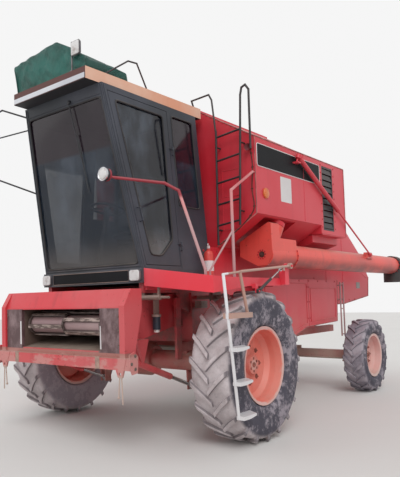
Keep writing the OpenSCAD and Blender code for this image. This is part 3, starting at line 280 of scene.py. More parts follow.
def feeder_marks(s, color):
    """Bare rusty plates flank the mouth, its inside is dark brown, partly rust and partly painted shade, and
    dust lies on the beam and rods under it.
    """
    x, y, z = s.axes()
    away = s.maths("ABSOLUTE", x)
    front = s.band(y, -1.3, -1.32)
    bare = s.mix(s.band(s.noise(5, 6, 0.7, (1, 1, 0.6), 7), 0.4, 0.7), rgb(84, 58, 60), rgb(142, 118, 120))
    seams = s.times(s.between(z, 0.948, 0.985, 0.012), front)
    color = s.mix(s.times(seams, 0.75), color, rgb(150, 112, 100))
    plates = s.times(s.between(away, 0.6, 0.894, 0.004), s.between(z, 0.99, 1.413, 0.006), front)
    color = s.mix(plates, color, bare)
    # The throat's inside: dark brown, partly rust and partly painted shade.
    throat_top = s.times(s.maths("ADD", y, 1.34), 0.117)
    inside = s.times(s.band(away, 0.632, 0.626), s.between(s.less(z, throat_top), 0.965, 1.432, 0.004),
        s.band(y, -1.35, -1.33))
    color = s.mix(inside, color, s.mix(s.noise(8, 6, 0.7, (0.5, 1, 1)), rgb(70, 54, 50), rgb(118, 100, 90)))
    patches = s.band(s.noise(3.4, 6, 0.65, (1, 1, 2.2), 8), 0.46, 0.6)
    dusty = s.times(s.band(z, 1.0, 0.94), front, s.plus(patches, s.band(away, 0.86, 0.9)))
    color = s.mix(s.times(dusty, 0.62), color, rgb(196, 148, 142))
    return s.mix(s.times(s.band(z, 0.8, 0.76), front), color, rgb(186, 160, 148))


weathered("feeder_paint", (204, 44, 55), (200, 84, 88), "feeder_house lift_tube_left lift_tube_right",
    rust=0.6, spot=0.81, low=1.1, streaks=0.4, extra=feeder_marks)


def rim_marks(node, rim_r):
    """The rim's edge is worn pale, and rust spreads from the hub."""
    low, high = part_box(node)
    middle = (Vector(low) + Vector(high)) / 2 + ORIGIN

    def marks(s, color):
        radius = s.radius_about(middle.y, middle.z)
        wobble = s.times(s.less(s.noise(6, 5, 0.6), 0.5), 0.08)
        ragged = s.maths("ADD", radius, wobble)
        edge = s.band(ragged, rim_r - 0.012, rim_r + 0.006)
        color = s.mix(s.times(edge, 0.75), color, rgb(208, 182, 176))
        hub = s.band(ragged, rim_r * 0.52, rim_r * 0.3)
        spread = s.mix(s.noise(18, 6, 0.7), rgb(132, 70, 60), rgb(196, 132, 120))
        color = s.mix(s.times(hub, 0.45), color, spread)
        patches = s.band(s.noise(9, 6, 0.7, shift=8), 0.56, 0.66)
        blotch = s.times(patches, s.band(ragged, rim_r * 0.95, rim_r * 0.5))
        color = s.mix(s.times(blotch, 0.4), color, rgb(150, 74, 60))
        return s.mix(s.times(s.band(radius, 0.058, 0.05), 0.7), color, rgb(196, 158, 148))

    return marks


weathered("rim_paint", (228, 98, 82), (224, 138, 124), "drive_rim_left drive_rim_right", dust=0.3, rust=0.35,
    spot=0.84, low=1.0, extra=rim_marks("drive_rim_left", 0.381))
weathered("rear_rim_paint", (216, 146, 138), (220, 182, 178), "steer_rim_left steer_rim_right", dust=0.45,
    spot=0.84, low=1.0, extra=rim_marks("steer_rim_left", 0.305))
black = weathered("black_paint", (38, 42, 50), (64, 67, 78), "cab_base cab_shell cab_door", rough=0.5,
    dust=0.42, rust=0.2, low=2.35, streaks=0.08)
weathered("black_bar_paint", (36, 34, 38), (62, 54, 54), "tank_ladder ladder_strut_tube engine_grilles",
    rough=0.5, dust=0.25, rust=0.5, spot=0.8)


def filter_marks(s, color):
    """The oil filter is a dark bottle with a pale cap."""
    x, y, z = s.axes()
    around = s.times(s.between(y, -0.71, -0.59, 0.002), s.between(x, 0.67, 0.8, 0.002))
    bottle = s.times(around, s.between(z, 1.172, 1.305, 0.002))
    color = s.mix(bottle, color, rgb(46, 50, 62))
    return s.mix(s.times(around, s.band(z, 1.1725, 1.1715)), color, rgb(222, 214, 210))


grey = weathered("machine_grey", (122, 104, 98), (164, 140, 130), "hydraulics tie_rod", rough=0.5, rust=0.6,
    spot=0.8, low=1.0, metallic=0.2, extra=filter_marks)
weathered("drum_brown", (150, 122, 124), (176, 150, 150), "feeder_drum", rough=0.5, dust=0.2, rust=0.3,
    spot=0.8, low=1.4, metallic=0.3)
DRUM_AT = (-1.21, 1.25)  # y and z of the feeder drum's axis


def slat_edges(s, color):
    """The slats that stand out of the chains are polished pale by the crop."""
    ahead = s.less(s.axes()[1], DRUM_AT[0])
    worn = s.mix(s.band(s.noise(30, 5, 0.7, (0.3, 1, 1)), 0.42, 0.6), rgb(96, 80, 76), rgb(182, 164, 156))
    outer = s.band(s.radius_about(*DRUM_AT), 0.119, 0.126)
    return s.mix(s.times(outer, s.band(ahead, 0.05, 0.0)), color, worn)


weathered("chain_brown", (72, 58, 56), (98, 84, 80), "feeder_chain", rough=0.55, dust=0.2, rust=0.5,
    spot=0.78, low=1.4, metallic=0.3, extra=slat_edges)
weathered("galvanised_steel", (126, 118, 110), (150, 134, 120), "cleaning_shoe", rough=0.5, dust=0.9,
    rust=0.6, spot=0.8, metallic=0.5)
weathered("cast_iron", (58, 60, 64), (80, 74, 70), "engine_block", rough=0.6, dust=0.5, metallic=0.3)
plastic = weathered("black_plastic", (34, 34, 38), (54, 54, 60), "mirror_right steering_column", rough=0.45,
    dust=0.3, rust=0, low=3.0)
rubber = weathered("black_rubber", (40, 39, 41), (62, 59, 60), "auger_spout", rough=0.75, dust=0.6, rust=0,
    low=2.2, grain=0.4)
weathered("chromed_rod", (196, 196, 198), (170, 168, 166), "ladder_strut_rod lift_rod_left lift_rod_right",
    rough=0.18, dust=0.35, rust=0.2, metallic=0.95, streaks=0.1)


LADDER_X = 1.74  # the plane of the ladder's stiles


def step_metal(s, color):
    """The ladder's arm, rear stile and top step are beige, and its other members are pale metal."""
    x, y, z = s.axes()
    beside = s.band(s.maths("ABSOLUTE", s.less(x, LADDER_X)), 0.0158, 0.0162)
    top_step = s.times(s.between(z, 1.293, 1.349, 0.001), beside)
    upper = s.plus(s.times(s.band(z, 1.2, 1.24), s.band(y, -0.815, -0.8)), top_step)
    return s.mix(upper, color, s.mix(s.noise(9, 5), rgb(196, 150, 136), rgb(168, 142, 130)))


weathered("ladder_metal", (236, 236, 240), (216, 214, 216), "access_ladder", rough=0.34, dust=0.12, rust=0.2,
    spot=0.88, metallic=0.15, streaks=0.06, extra=step_metal)


def roof_edge(s, color):
    """The front edge, the underside and the rails of the roof are dark where its sides are bleached."""
    color = s.mix(s.band(s.axes()[2], 3.834, 3.838), color, rgb(58, 48, 50))
    color = s.mix(s.band(s.facing(1), -0.6, -0.9), color, rgb(88, 50, 46))
    return s.mix(s.band(s.facing(2), -0.5, -0.8), color, rgb(34, 34, 39))


weathered("roof_edge_paint", (222, 158, 128), (230, 190, 168), "cab_roof", rough=0.6, dust=0.2, rust=0.25,
    streaks=0.12, spot=0.88, extra=roof_edge)
white_strip = weathered("pale_strip", (214, 216, 222), (190, 192, 200), rough=0.45, dust=0.1, rust=0.1)
panel_black = weathered("bare_panel_black", (14, 14, 17), (26, 26, 30), rough=0.5, dust=0.1, rust=0, low=1.0,
    streaks=0.1)
panel_black.node_tree.nodes["Principled BSDF"].inputs["Specular IOR Level"].default_value = 0.12
panel_white = weathered("bare_plate_white", (226, 224, 224), (206, 200, 200), rough=0.4, dust=0.2, rust=0.15)
panel_grey = weathered("bare_plate_grey", (150, 146, 144), (128, 122, 118), rough=0.35, dust=0.2, rust=0.2,
    metallic=0.6)


def tinted_glass(name, on, low, tint_and_reflection, see, band=None):
    """Dusty tinted glass. Its bluish tint and pale bluish smears are partly painted reflection. It darkens
    between the two heights of band, and dust gathers at its foot.
    """
    s = Shader(name)
    z = s.axes()[2]
    # Pale bluish smears: dust, with painted reflection.
    smear_and_reflection = s.band(s.noise(2.2, 6, 0.6, (1, 1, 0.5)), 0.42, 0.74)
    color = s.mix(s.times(smear_and_reflection, 0.45), tint_and_reflection, rgb(108, 120, 136))
    alpha = s.plus(see, s.times(smear_and_reflection, 0.12))
    if band:
        shade = s.band(z, band[0], band[1])
        color = s.mix(shade, color, rgb(38, 26, 36))
        alpha = s.plus(alpha, s.times(shade, 0.3))
    foot = s.times(s.band(z, low + 0.35, low), 0.5)
    color = s.mix(foot, color, rgb(120, 112, 106))
    alpha = s.plus(alpha, s.times(foot, 0.3))
    s.put(s.bsdf, {"Alpha": alpha, "IOR": 1.52})
    dress(s.finish(color, s.plus(0.06, s.times(smear_and_reflection, 0.12))), on)


# The bluish glass colours are partly painted reflection.
tinted_glass("cab_window_glass", "cab_glass", 1.86, rgb(40, 49, 62), 0.5, (3.05, 3.1))
tinted_glass("door_window_glass", "door_glass", 1.96, rgb(26, 28, 36), 0.72)


def lamp_lens():
    s = Shader("lamp_lens")
    ribs = s.new("TexWave", {"Vector": s.place, "Scale": 26}, wave_type="BANDS", bands_direction="X")
    s.bump(ribs.outputs["Fac"], 0.5, 0.003)
    s.put(s.bsdf, {"Transmission Weight": 0.2})
    color = s.mix(s.band(s.noise(14, 5), 0.45, 0.75), rgb(240, 238, 238), rgb(188, 176, 172))
    return s.finish(color, 0.16)


def plain(name, a, b, rough, metallic=0.0, scale=20.0, grain=0.1, transmission=0.0):
    """A small trim material that a fine mottle takes from one colour to the other."""
    s = Shader(name)
    fine = s.noise(scale, 5)
    s.put(s.bsdf, {"Transmission Weight": transmission})
    s.bump(fine, grain, 0.002)
    rough = s.plus(rough, s.times(fine, 0.15))
    return s.finish(s.mix(s.band(fine, 0.35, 0.7), rgb(*a), rgb(*b)), rough, metallic)


lens_white = dress(lamp_lens(), "lamps")
lens_orange = plain("orange_lens", (236, 128, 62), (214, 104, 52), 0.22, transmission=0.2)
beige = plain("dusty_steel", (176, 146, 132), (148, 122, 112), 0.6, 0.1, 24)
reflector = plain("lamp_reflector", (220, 220, 222), (190, 190, 194), 0.12, 0.9)
bolt_steel = plain("bolt_steel", (120, 112, 106), (92, 62, 50), 0.45, 0.5, 30)
bolt_red = plain("painted_bolts", (196, 42, 54), (160, 48, 52), 0.45, 0.0, 30)
lamp_case = plain("lamp_case", (126, 122, 124), (84, 80, 84), 0.4, 0.3, 16)
bottle_paint = plain("extinguisher_paint", (214, 74, 66), (196, 60, 56), 0.3)
horn_paint = plain("horn_paint", (120, 26, 36), (84, 24, 30), 0.35)
rust_dark = plain("rusty_fittings", (74, 46, 42), (112, 74, 64), 0.65, 0.2, 12, 0.3)
hub_rust = plain("hub_rust", (158, 96, 84), (104, 60, 52), 0.6, 0.1, 24, 0.2)
worn_edge = plain("worn_edge", (150, 84, 84), (190, 136, 130), 0.6, 0.0, 9, 0.2)


def tyre_rubber(name, tread_r, lug_h, half_w, pale, deep, muddy):
    """Dusty tyre: brown-grey earth on the tread, a dark sidewall with pale smears of mud, and painted shade
    on the flanks of the lugs.
    Its mesh is centred on the wheel."""
    s = Shader(name)
    x, y, z = s.split(s.place)
    radius = s.radius(y, z)
    mottled = s.noise(6, 6, 0.6)
    fine = s.noise(60, 6, 0.7)
    dark = s.mix(mottled, rgb(52, 51, 60), rgb(92, 88, 100))
    smears = s.plus(s.times(s.noise(11, 8, 0.72, shift=4), 0.75), s.times(s.noise(2.4, 3), 0.35))
    mud = s.band(smears, 0.52, 0.66)
    side = s.mix(s.times(s.plus(mud, muddy), 0.6 + 0.25 * muddy), dark, rgb(184, 174, 182))
    earth = s.mix(s.band(mottled, 0.3, 0.7), deep, pale)
    ground = s.times(s.band(radius, tread_r - 0.075, tread_r - 0.02),
        s.band(s.maths("ABSOLUTE", x), half_w, half_w - 0.03))
    tread = s.mix(s.times(s.band(fine, 0.5, 0.75), 0.3), earth, rgb(120, 112, 116))
    color = s.mix(s.times(ground, s.plus(0.7, s.band(mottled, 0.2, 0.6))), side, tread)
    # Painted shade darkens the flanks of the lugs.
    flank = s.between(radius, tread_r + 0.003, tread_r + lug_h - 0.011, 0.004)
    color = s.mix(s.times(flank, 0.6), color, rgb(84, 78, 84))
    s.bump(s.plus(s.times(fine, 0.5), s.times(mud, 0.5)), 0.5, 0.004)
    s.put(s.bsdf, {"Specular IOR Level": 0.3})
    return s.finish(color, s.plus(0.72, s.times(ground, 0.2)))


def canvas_cloth():
    """Coated green tarpaulin: a fine weave, sun-bleached ridges and dirt in the folds."""
    s = Shader("green_canvas")
    weave = s.new("TexBrick", {"Vector": s.place, "Scale": 160, "Mortar Size": 0.03})
    large = s.noise(3.5, 5, 0.6)
    color = s.mix(s.band(large, 0.32, 0.7), rgb(8, 76, 66), rgb(34, 106, 96))
    stains = s.band(s.noise(5, 6, 0.7, (1, 1, 0.4), 6), 0.55, 0.75)
    color = s.mix(s.times(stains, 0.5), color, rgb(20, 50, 46))
    color = s.mix(s.times(s.band(s.facing(2), 0.75, 1.0), 0.2), color, DUST)
    folds = s.noise(9, 6, 0.65, (1, 1, 0.5), 4)
    s.bump(s.plus(s.times(weave.outputs["Fac"], 0.1), s.times(folds, 0.9)), 0.9, 0.03)
    s.put(s.bsdf, {"Sheen Weight": 0.05})
    return s.finish(color, s.plus(0.5, s.times(large, 0.2)))


def seat_cloth():
    s = Shader("seat_cloth")
    weave = s.new("TexChecker", {"Vector": s.place, "Scale": 260})
    color = s.mix(s.noise(5, 5), rgb(34, 34, 38), rgb(62, 58, 58))
    s.bump(s.plus(s.times(weave.outputs["Fac"], 0.5), s.times(s.noise(50, 5), 0.5)), 0.4, 0.002)
    s.put(s.bsdf, {"Sheen Weight": 0.35})
    return s.finish(color, 0.85)


cloth_green, cloth_seat = canvas_cloth(), seat_cloth()

# Mesh helpers


def square_to(axis):
    """Two directions square to an axis and to each other."""
    side = axis.orthogonal().normalized()
    return side, axis.cross(side)


def circle(centre, side, across, r, n, turn=0.0):
    return [centre + (side * cos(tau * (k + turn) / n) + across * sin(tau * (k + turn) / n)) * r
        for k in range(n)]


def upright(x0, x1, y, z0, z1):
    """Corners of a rectangle that faces the front."""
    return [(x0, y, z0), (x1, y, z0), (x1, y, z1), (x0, y, z1)]


class Piece:
    """Gathers the faces of one piece. Points are in machine coordinates, in metres."""

    def __init__(self):
        self.points, self.faces = [], []

    def add(self, points, faces):
        start = len(self.points)
        self.points += [Vector(p) for p in points]
        self.faces += [[i + start for i in f] for f in faces]
        return self

    def loft(self, rings, closed=False, caps=True):
        """Skins rings of as many points each."""
        n, m = len(rings[0]), len(rings)
        faces = [[i * n + j, i * n + (j + 1) % n, ((i + 1) % m) * n + (j + 1) % n, ((i + 1) % m) * n + j]
            for i in range(m if closed else m - 1) for j in range(n)]
        if caps and not closed:
            faces += [list(range(n))[::-1], [(m - 1) * n + j for j in range(n)]]
        return self.add([p for ring in rings for p in ring], faces)

    def tube(self, path, r, n=10, closed=False):
        """A round tube along a path. r is one radius, or one for each point."""
        path = [Vector(p) for p in path]
        count = len(path)
        radii = r if hasattr(r, "__len__") else [r] * count
        rings, side = [], None
        for i, p in enumerate(path):
            a = path[(i - 1) % count] if closed or i else p
            b = path[(i + 1) % count] if closed or i < count - 1 else p
            along = (b - a).normalized()
            if side is None:
                side = along.orthogonal().normalized()
            side = (side - along * side.dot(along)).normalized()
            rings.append(circle(p, side, along.cross(side), radii[i], n))
        return self.loft(rings, closed)

    def turned(self, centre, axis, profile, n=24):
        """A solid of revolution. profile lists (distance along the axis, radius) from end to end."""
        axis, centre = Vector(axis).normalized(), Vector(centre)
        return self.loft([circle(centre + axis * d, *square_to(axis), r, n) for d, r in profile])

    def block(self, a, b):
        a, b = Vector(a), Vector(b)
        foot = ((a.x, a.y), (b.x, a.y), (b.x, b.y), (a.x, b.y))
        return self.add([(x, y, z) for z in (a.z, b.z) for x, y in foot],
            [[3, 2, 1, 0], [4, 5, 6, 7], [0, 1, 5, 4], [1, 2, 6, 5], [2, 3, 7, 6], [3, 0, 4, 7]])

    def plate(self, corners, thick):
        """A flat plate on an outline of corners, thickened along the vector thick."""
        return self.loft([corners, [Vector(c) + Vector(thick) for c in corners]])

    def bolt(self, p, axis, r=0.011):
        """Hexagon head on a washer."""
        axis, p = Vector(axis).normalized(), Vector(p)

        def ring(n, radius, height, turn=0.0):
            return circle(p + axis * height, *square_to(axis), radius, n, turn)

        turn = random.random()
        self.loft([ring(12, r * 1.6, -0.001), ring(12, r * 1.6, 0.0022), ring(12, r * 1.1, 0.0026)])
        self.loft([ring(6, r, 0.001, turn), ring(6, r, r * 0.62, turn), ring(6, r * 0.8, r * 0.75, turn)])

    def make(self, name, mat, body="machine", bevel=0.0, smooth=35, slot="red_paint", centre=None):
        """Makes the object. centre is its origin, where that isn't the machine's."""
        mesh = bpy.data.meshes.new(name)
        middle = Vector(centre) if centre else ORIGIN
        mesh.from_pydata([p - middle for p in self.points], [], self.faces)
        work = bmesh.new()
        work.from_mesh(mesh)
        bmesh.ops.recalc_face_normals(work, faces=work.faces)
        work.to_mesh(mesh)
        work.free()
        mesh.materials.append(mat)
        mesh.shade_smooth()
        mesh.set_sharp_from_angle(angle=radians(smooth))
        piece = add_object(name, mesh)
        if centre:
            piece.location = middle - ORIGIN
        if bevel:
            edge = piece.modifiers.new("edge", "BEVEL")
            edge.width = bevel
            edge.segments = 2
            edge.limit_method = "ANGLE"
        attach(piece, body)
        return piece


def rounded(w, h, r, steps=5):
    """Outline of a rectangle with round corners, about its middle."""
    out = []
    for turn, (u, v) in enumerate(((1, 1), (-1, 1), (-1, -1), (1, -1))):
        for i in range(steps + 1):
            a = tau / 4 * (turn + i / steps)
            out.append((u * (w / 2 - r) + r * cos(a), v * (h / 2 - r) + r * sin(a)))
    return out


def smooth_path(points, per=6, closed=False):
    """A curve through the points."""
    p = [Vector(q) for q in points]
    n = len(p)
    out = []
    for i in range(n if closed else n - 1):
        a, b = p[i], p[(i + 1) % n]
        before = p[i - 1] if closed or i else a
        after = p[(i + 2) % n] if closed or i < n - 2 else b
        for k in range(per):
            t = k / per
            out.append(0.5 * (2 * a + (b - before) * t + (2 * before - 5 * a + 4 * b - after) * t * t
                + (3 * a - before - 3 * b + after) * t ** 3))
    return out if closed else out + [p[-1]]


# Tyres

# Outside radius, section width, bead radius, lugs on a half and lug height
DRIVE_TYRE, STEER_TYRE = (0.78, 0.47, 0.381, 20, 0.036), (0.551, 0.336, 0.305, 18, 0.024)
TURNS = 96
# Stations from the middle of the tread to the shoulder: share of the way, and how much lower the lug is there
LUG_STATIONS = ((0, 0.001), (0.16, 0), (0.36, 0), (0.56, 0.001), (0.76, 0.003), (0.9, 0.007), (0.965, 0.016),
    (1.0, 0.04))
for kind, sign in (("drive", 1), ("drive", -1), ("steer", 1), ("steer", -1)):
    steered, side = kind == "steer", "left" if sign > 0 else "right"
    outer, width, bead, lugs, lug_h = STEER_TYRE if steered else DRIVE_TYRE
    muddy = 0.75 if sign < 0 else 0.0
    earth = (rgb(176, 168, 176), rgb(126, 120, 130)) if steered else (rgb(210, 200, 202), rgb(178, 167, 168))
    low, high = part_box(f"{kind}_rim_{side}")
    centre = (low + high) / 2 + ORIGIN
    half, body_r = width / 2, outer - lug_h
    section = smooth_path([(bead, 0, half - 0.052), (bead + 0.026, 0, half - 0.05),
        (bead + 0.06, 0, half - 0.014), ((bead + body_r) / 2, 0, half - 0.001),
        (body_r - 0.062, 0, half - 0.008), (body_r - 0.018, 0, half - 0.034),
        (body_r - 0.003, 0, half - 0.095), (body_r, 0, 0)], 5)
    ribbed = []
    for i, p in enumerate(section):
        rib = 0.003 if bead + 0.05 < p.x < body_r - 0.06 and i % 4 == 0 else 0.0
        ribbed.append((p.x, min(p.z + rib, half)))
    outline = [(r, -x) for r, x in ribbed] + [(r, x) for r, x in ribbed[-2::-1]]
    around = [(sin(tau * k / TURNS), cos(tau * k / TURNS)) for k in range(TURNS)]
    hoops = [[centre + Vector((x, r * u, r * v)) for r, x in outline] for u, v in around]
    tyre = Piece().loft(hoops, closed=True)

    def base_at(x):
        """Radius of the carcass at a distance from its middle plane."""
        for (r0, x0), (r1, x1) in zip(ribbed[::-1], ribbed[-2::-1]):
            if x0 <= x <= x1 and r0 > (bead + body_r) / 2:
                return r0 + (r1 - r0) * (x - x0) / max(x1 - x0, 1e-6)
        return body_r - 0.07

    run = half * 0.95
    for flank in (1, -1):
        for i in range(lugs):
            spin = tau * (i + (0.5 if flank > 0 else 0)) / lugs
            rings = []
            for t, drop in LUG_STATIONS:
                x = -0.01 + t * (half - 0.003)
                middle = -run / 2 + 0.023 + run * (1.16 * t - 0.2 * t * t)
                top = outer - drop
                foot = min(base_at(max(x, 0)), top - 0.012) - 0.006
                wide, narrow = 0.031 - 0.003 * t, 0.021
                ring = []
                for y, r in ((-wide, foot), (-narrow - 0.004, top - 0.006), (-narrow, top), (narrow, top),
                        (narrow + 0.004, top - 0.006), (wide, foot)):
                    turn = spin + (middle + y) / outer
                    ring.append(centre + Vector((x * flank, r * sin(turn), r * cos(turn))))
                rings.append(ring)
            tyre.loft(rings)
    body, name = f"{kind}_wheel_{side}", f"{kind}_tyre_{side}"
    dirty = tyre_rubber(name + "_rubber", body_r, lug_h, half, *earth, muddy)
    piece = tyre.make(name + "_moulded", dirty, body, smooth=40, slot="tyre", centre=centre)
    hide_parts(name)

    # Wheel nuts on their studs, and the hub's cap with its bolts
    nuts = Piece()
    out = (sign, 0, 0)
    ring_r, face = (0.15, 0.002) if steered else (0.195, 0.0135)
    cap_r, cap = (0.042, 0.04) if steered else (0.066, 0.07)
    for i in range(8):
        a = tau * i / 8
        spot = centre + Vector((sign * face, ring_r * cos(a), ring_r * sin(a)))
        nuts.bolt(spot, out, 0.017)
        nuts.turned(spot + Vector((sign * 0.01, 0, 0)), out, [(0, 0.008), (0.012, 0.008), (0.014, 0.006)], 10)
    for i in range(6):
        a = tau * (i + 0.5) / 6
        nuts.bolt(centre + Vector((sign * cap, cap_r * cos(a), cap_r * sin(a))), out, 0.009)
    nuts.turned(centre + Vector((sign * cap, 0, 0)), out, [(-0.002, 0.026), (0.006, 0.026), (0.012, 0.02),
        (0.013, 0)], 20)
    nuts.make(body + "_nuts", hub_rust, body, slot="grey_steel")

# Cab


def cab_front(z):
    return -0.9 - 0.2122 * (z - 1.82)


def cab_half(z):
    return 0.781 - 0.0828 * (z - 1.82)


def on_front(x, z, out=0.0):
    return Vector((x, cab_front(z) - out, z))


def on_side(y, z, sign=1, out=0.0):
    return Vector((sign * (cab_half(z) + out), y, z))


def seal(piece, points, r=0.009):
    """Rubber bead round a window, with its corners turned on a small radius."""
    n = len(points)
    path = []
    for i in range(n):
        p, a, b = Vector(points[i]), Vector(points[i - 1]), Vector(points[(i + 1) % n])
        c = min(0.05, (a - p).length / 3, (b - p).length / 3)
        s, e = p + (a - p).normalized() * c, p + (b - p).normalized() * c
        path += [(s * (1 - t) ** 2 + p * 2 * t * (1 - t) + e * t * t) for t in [k / 4 for k in range(5)]]
    piece.tube(path, r, 8, closed=True)


SCREEN_FOOT, SCREEN_HEAD, SCREEN_INSET = 1.865, 3.57, 0.052
seals = Piece()
seal(seals, [on_front(s * (cab_half(z) - SCREEN_INSET), z)
    for s, z in ((1, SCREEN_FOOT), (1, SCREEN_HEAD), (-1, SCREEN_HEAD), (-1, SCREEN_FOOT))])
seal(seals, [on_side(y, z, -1) for y, z in ((-0.76, 1.96), (-0.365, 1.96), (-0.35, 3.56), (-1.12, 3.56))])
for sign in (1, -1):
    seal(seals, [on_side(y, z, sign) for y, z in ((-0.19, 2.54), (0.21, 2.54), (0.21, 3.6), (-0.19, 3.6))])
seals.make("window_seals", rubber, slot="rubber")
seals = Piece()
door_window = ((-0.76, 1.96), (-0.577, 1.955), (-0.365, 2.14), (-0.35, 3.56), (-1.12, 3.56))
seal(seals, [on_side(y, z) for y, z in door_window], 0.01)
seals.make("door_window_seal", rubber, "door", slot="rubber")

# Bare panel between the headlamps, with a thin frame, and the drip strip above the windscreen
BASE_FRONT = -0.9302  # just off the front of the cab's base
panel = upright(-0.6, 0.6, BASE_FRONT, 1.685, 1.8)
Piece().plate(panel, (0, -0.004, 0)).make("front_bare_panel", panel_black, bevel=0.0015, slot="black_paint")
frame_line = upright(-0.6, 0.6, -0.934, 1.685, 1.8)
Piece().tube(frame_line, 0.003, 6, closed=True).make("front_panel_frame", grey, slot="grey_steel")
strip = upright(-0.575, 0.575, -1.4805, 3.712, 3.765)
Piece().plate(strip, (0, -0.007, 0)).make("roof_front_strip", white_strip, bevel=0.002, slot="faded_roof")

# Pillar trims: raised ribs on the front pillars and beside them, and strips over and under the windscreen
trim = Piece()
for sign in (1, -1):
    for inset in (0.012, 0.04):
        trim.tube([on_front(sign * (cab_half(z) - inset), z, 0.001) for z in (1.83, 2.7, 3.69)], 0.006, 6)
    trim.tube([on_side(cab_front(z) + 0.03, z, sign, 0.001) for z in (1.83, 2.7, 3.69)], 0.007, 6)
    trim.tube([on_side(-0.246, z, sign, 0.001) for z in (1.83, 2.06)], 0.005, 6)
trim.tube([on_front(x, 1.842, 0.001) for x in (-0.74, 0.74)], 0.007, 6)
trim.tube([on_front(x, 3.6, 0.001) for x in (-0.6, 0.6)], 0.006, 6)
trim.make("cab_pillar_trims", black, slot="black_paint")

# Headlamps with rounded-square lenses, and the lamp on its stalk
HEADLAMP = (0.703, 1.7425)  # x and z of its middle
ROOF_LAMP = (0.434, 4.06)
STALK = (0.366, -1.458)  # x and y
ROOF_TOP = 3.8303


def lamp_rings(x0, z0, shape, levels):
    """Rings of one outline about a point, each at a y and scaled by k."""
    return [[(x0 + x * k, y, z0 + z * k) for x, z in shape] for y, k in levels]


bezel, glass = Piece(), Piece()
for sign in (1, -1):
    for piece, grow, y0, y1 in ((bezel, 0.0, BASE_FRONT, -0.957), (glass, -0.01, -0.95, -0.962)):
        shape = rounded(0.146 + grow, 0.122 + grow, 0.03 + grow / 3)
        levels = ((y0, 1.0), (y1 + 0.004, 1.0), (y1, 0.93))
        piece.loft(lamp_rings(sign * HEADLAMP[0], HEADLAMP[1], shape, levels))
levels = ((-1.44, 0.84), (-1.455, 0.98), (-1.474, 1.0))
bezel.loft(lamp_rings(*ROOF_LAMP, rounded(0.128, 0.15, 0.016), levels))
bezel.tube([(*STALK, ROOF_TOP), (*STALK, 4.145)], 0.008, 10)
bezel.turned((*STALK, ROOF_TOP), (0, 0, 1), [(0, 0.022), (0.008, 0.022), (0.011, 0.012)], 16)
for z in (4.03, 4.1):
    bezel.tube([(0.362, STALK[1], z), (0.385, STALK[1], z)], 0.01, 8)
levels = ((-1.4738, 1.0), (-1.478, 1.0), (-1.481, 0.9))
glass.loft(lamp_rings(*ROOF_LAMP, rounded(0.114, 0.136, 0.014), levels))
case = bezel.make("lamp_cases", lamp_case, bevel=0.002, slot="black_plastic")
glass.make("lamp_lenses", lens_white, bevel=0.0015, slot="lamp")
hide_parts("lamps")

# Round work lamp on the grab rail
for part, mat, profile in (
        ("case", plastic, [(-0.004, 0.03), (0.0, 0.052), (0.03, 0.0655), (0.062, 0.066), (0.066, 0.064)]),
        ("ring", reflector, [(0.058, 0.068), (0.07, 0.068), (0.073, 0.062), (0.068, 0.056)]),
        ("lens", lens_white, [(0.06, 0.06), (0.068, 0.057), (0.075, 0.04), (0.078, 0.015), (0.0785, 0)])):
    lamp = Piece().turned((0.74, -1.35, 2.72), (0, -1, 0), profile, 28)
    lamp.make("rail_lamp_" + part, mat, slot="lamp")

wiper = Piece().turned(on_front(0.12, 3.615), (0, -1, -0.2), [(0, 0.022), (0.018, 0.02), (0.024, 0.012)], 16)
arm = [on_front(0.12, 3.615, 0.02), on_front(0.15, 3.3, 0.022), on_front(0.17, 3.0, 0.014)]
wiper.tube(arm, [0.006, 0.005, 0.004], 8)
wiper.tube([on_front(0.155, 3.27), on_front(0.172, 2.98, 0.004), on_front(0.185, 2.66)], 0.0055, 6)
wiper.make("windscreen_wiper", plastic, slot="black_plastic")

mirror = upright(-1.472, -1.308, -1.4035, 3.128, 3.512)
Piece().plate(mirror, (0, 0.003, 0)).make("mirror_glass", reflector, bevel=0.001, slot="black_plastic")

# Roof canvas

ACROSS = 80
COVER_LEFT, COVER_W, COVER_H = -0.655, 1.2, 0.432
FRONT_FOLD, REAR_FOLD = -1.39, -0.87  # y of the folds where its front and rear turn into its top
# Height of the cover over the width, from its left to its right end, and the outline of its side
FRONT_TOP = [(-0.655, 4.196), (-0.3, 4.232), (0.06, 4.262), (0.335, 4.104), (0.52, 3.966), (0.545, 3.93)]
SIDE = [(-1.425, 3.832), (-1.43, 3.95), (-1.428, 4.08), (-1.424, 4.2), (-1.4, 4.262), (-1.33, 4.268),
    (-1.22, 4.228), (-1.1, 4.176), (-1.0, 4.098), (-0.9, 4.008), (-0.85, 3.985), (-0.832, 3.9),
    (-0.83, 3.832)]


def height_at(x, table):
    for (x0, z0), (x1, z1) in zip(table, table[1:]):
        if x <= x1:
            return z0 + (z1 - z0) * (x - x0) / (x1 - x0)
    return table[-1][1]


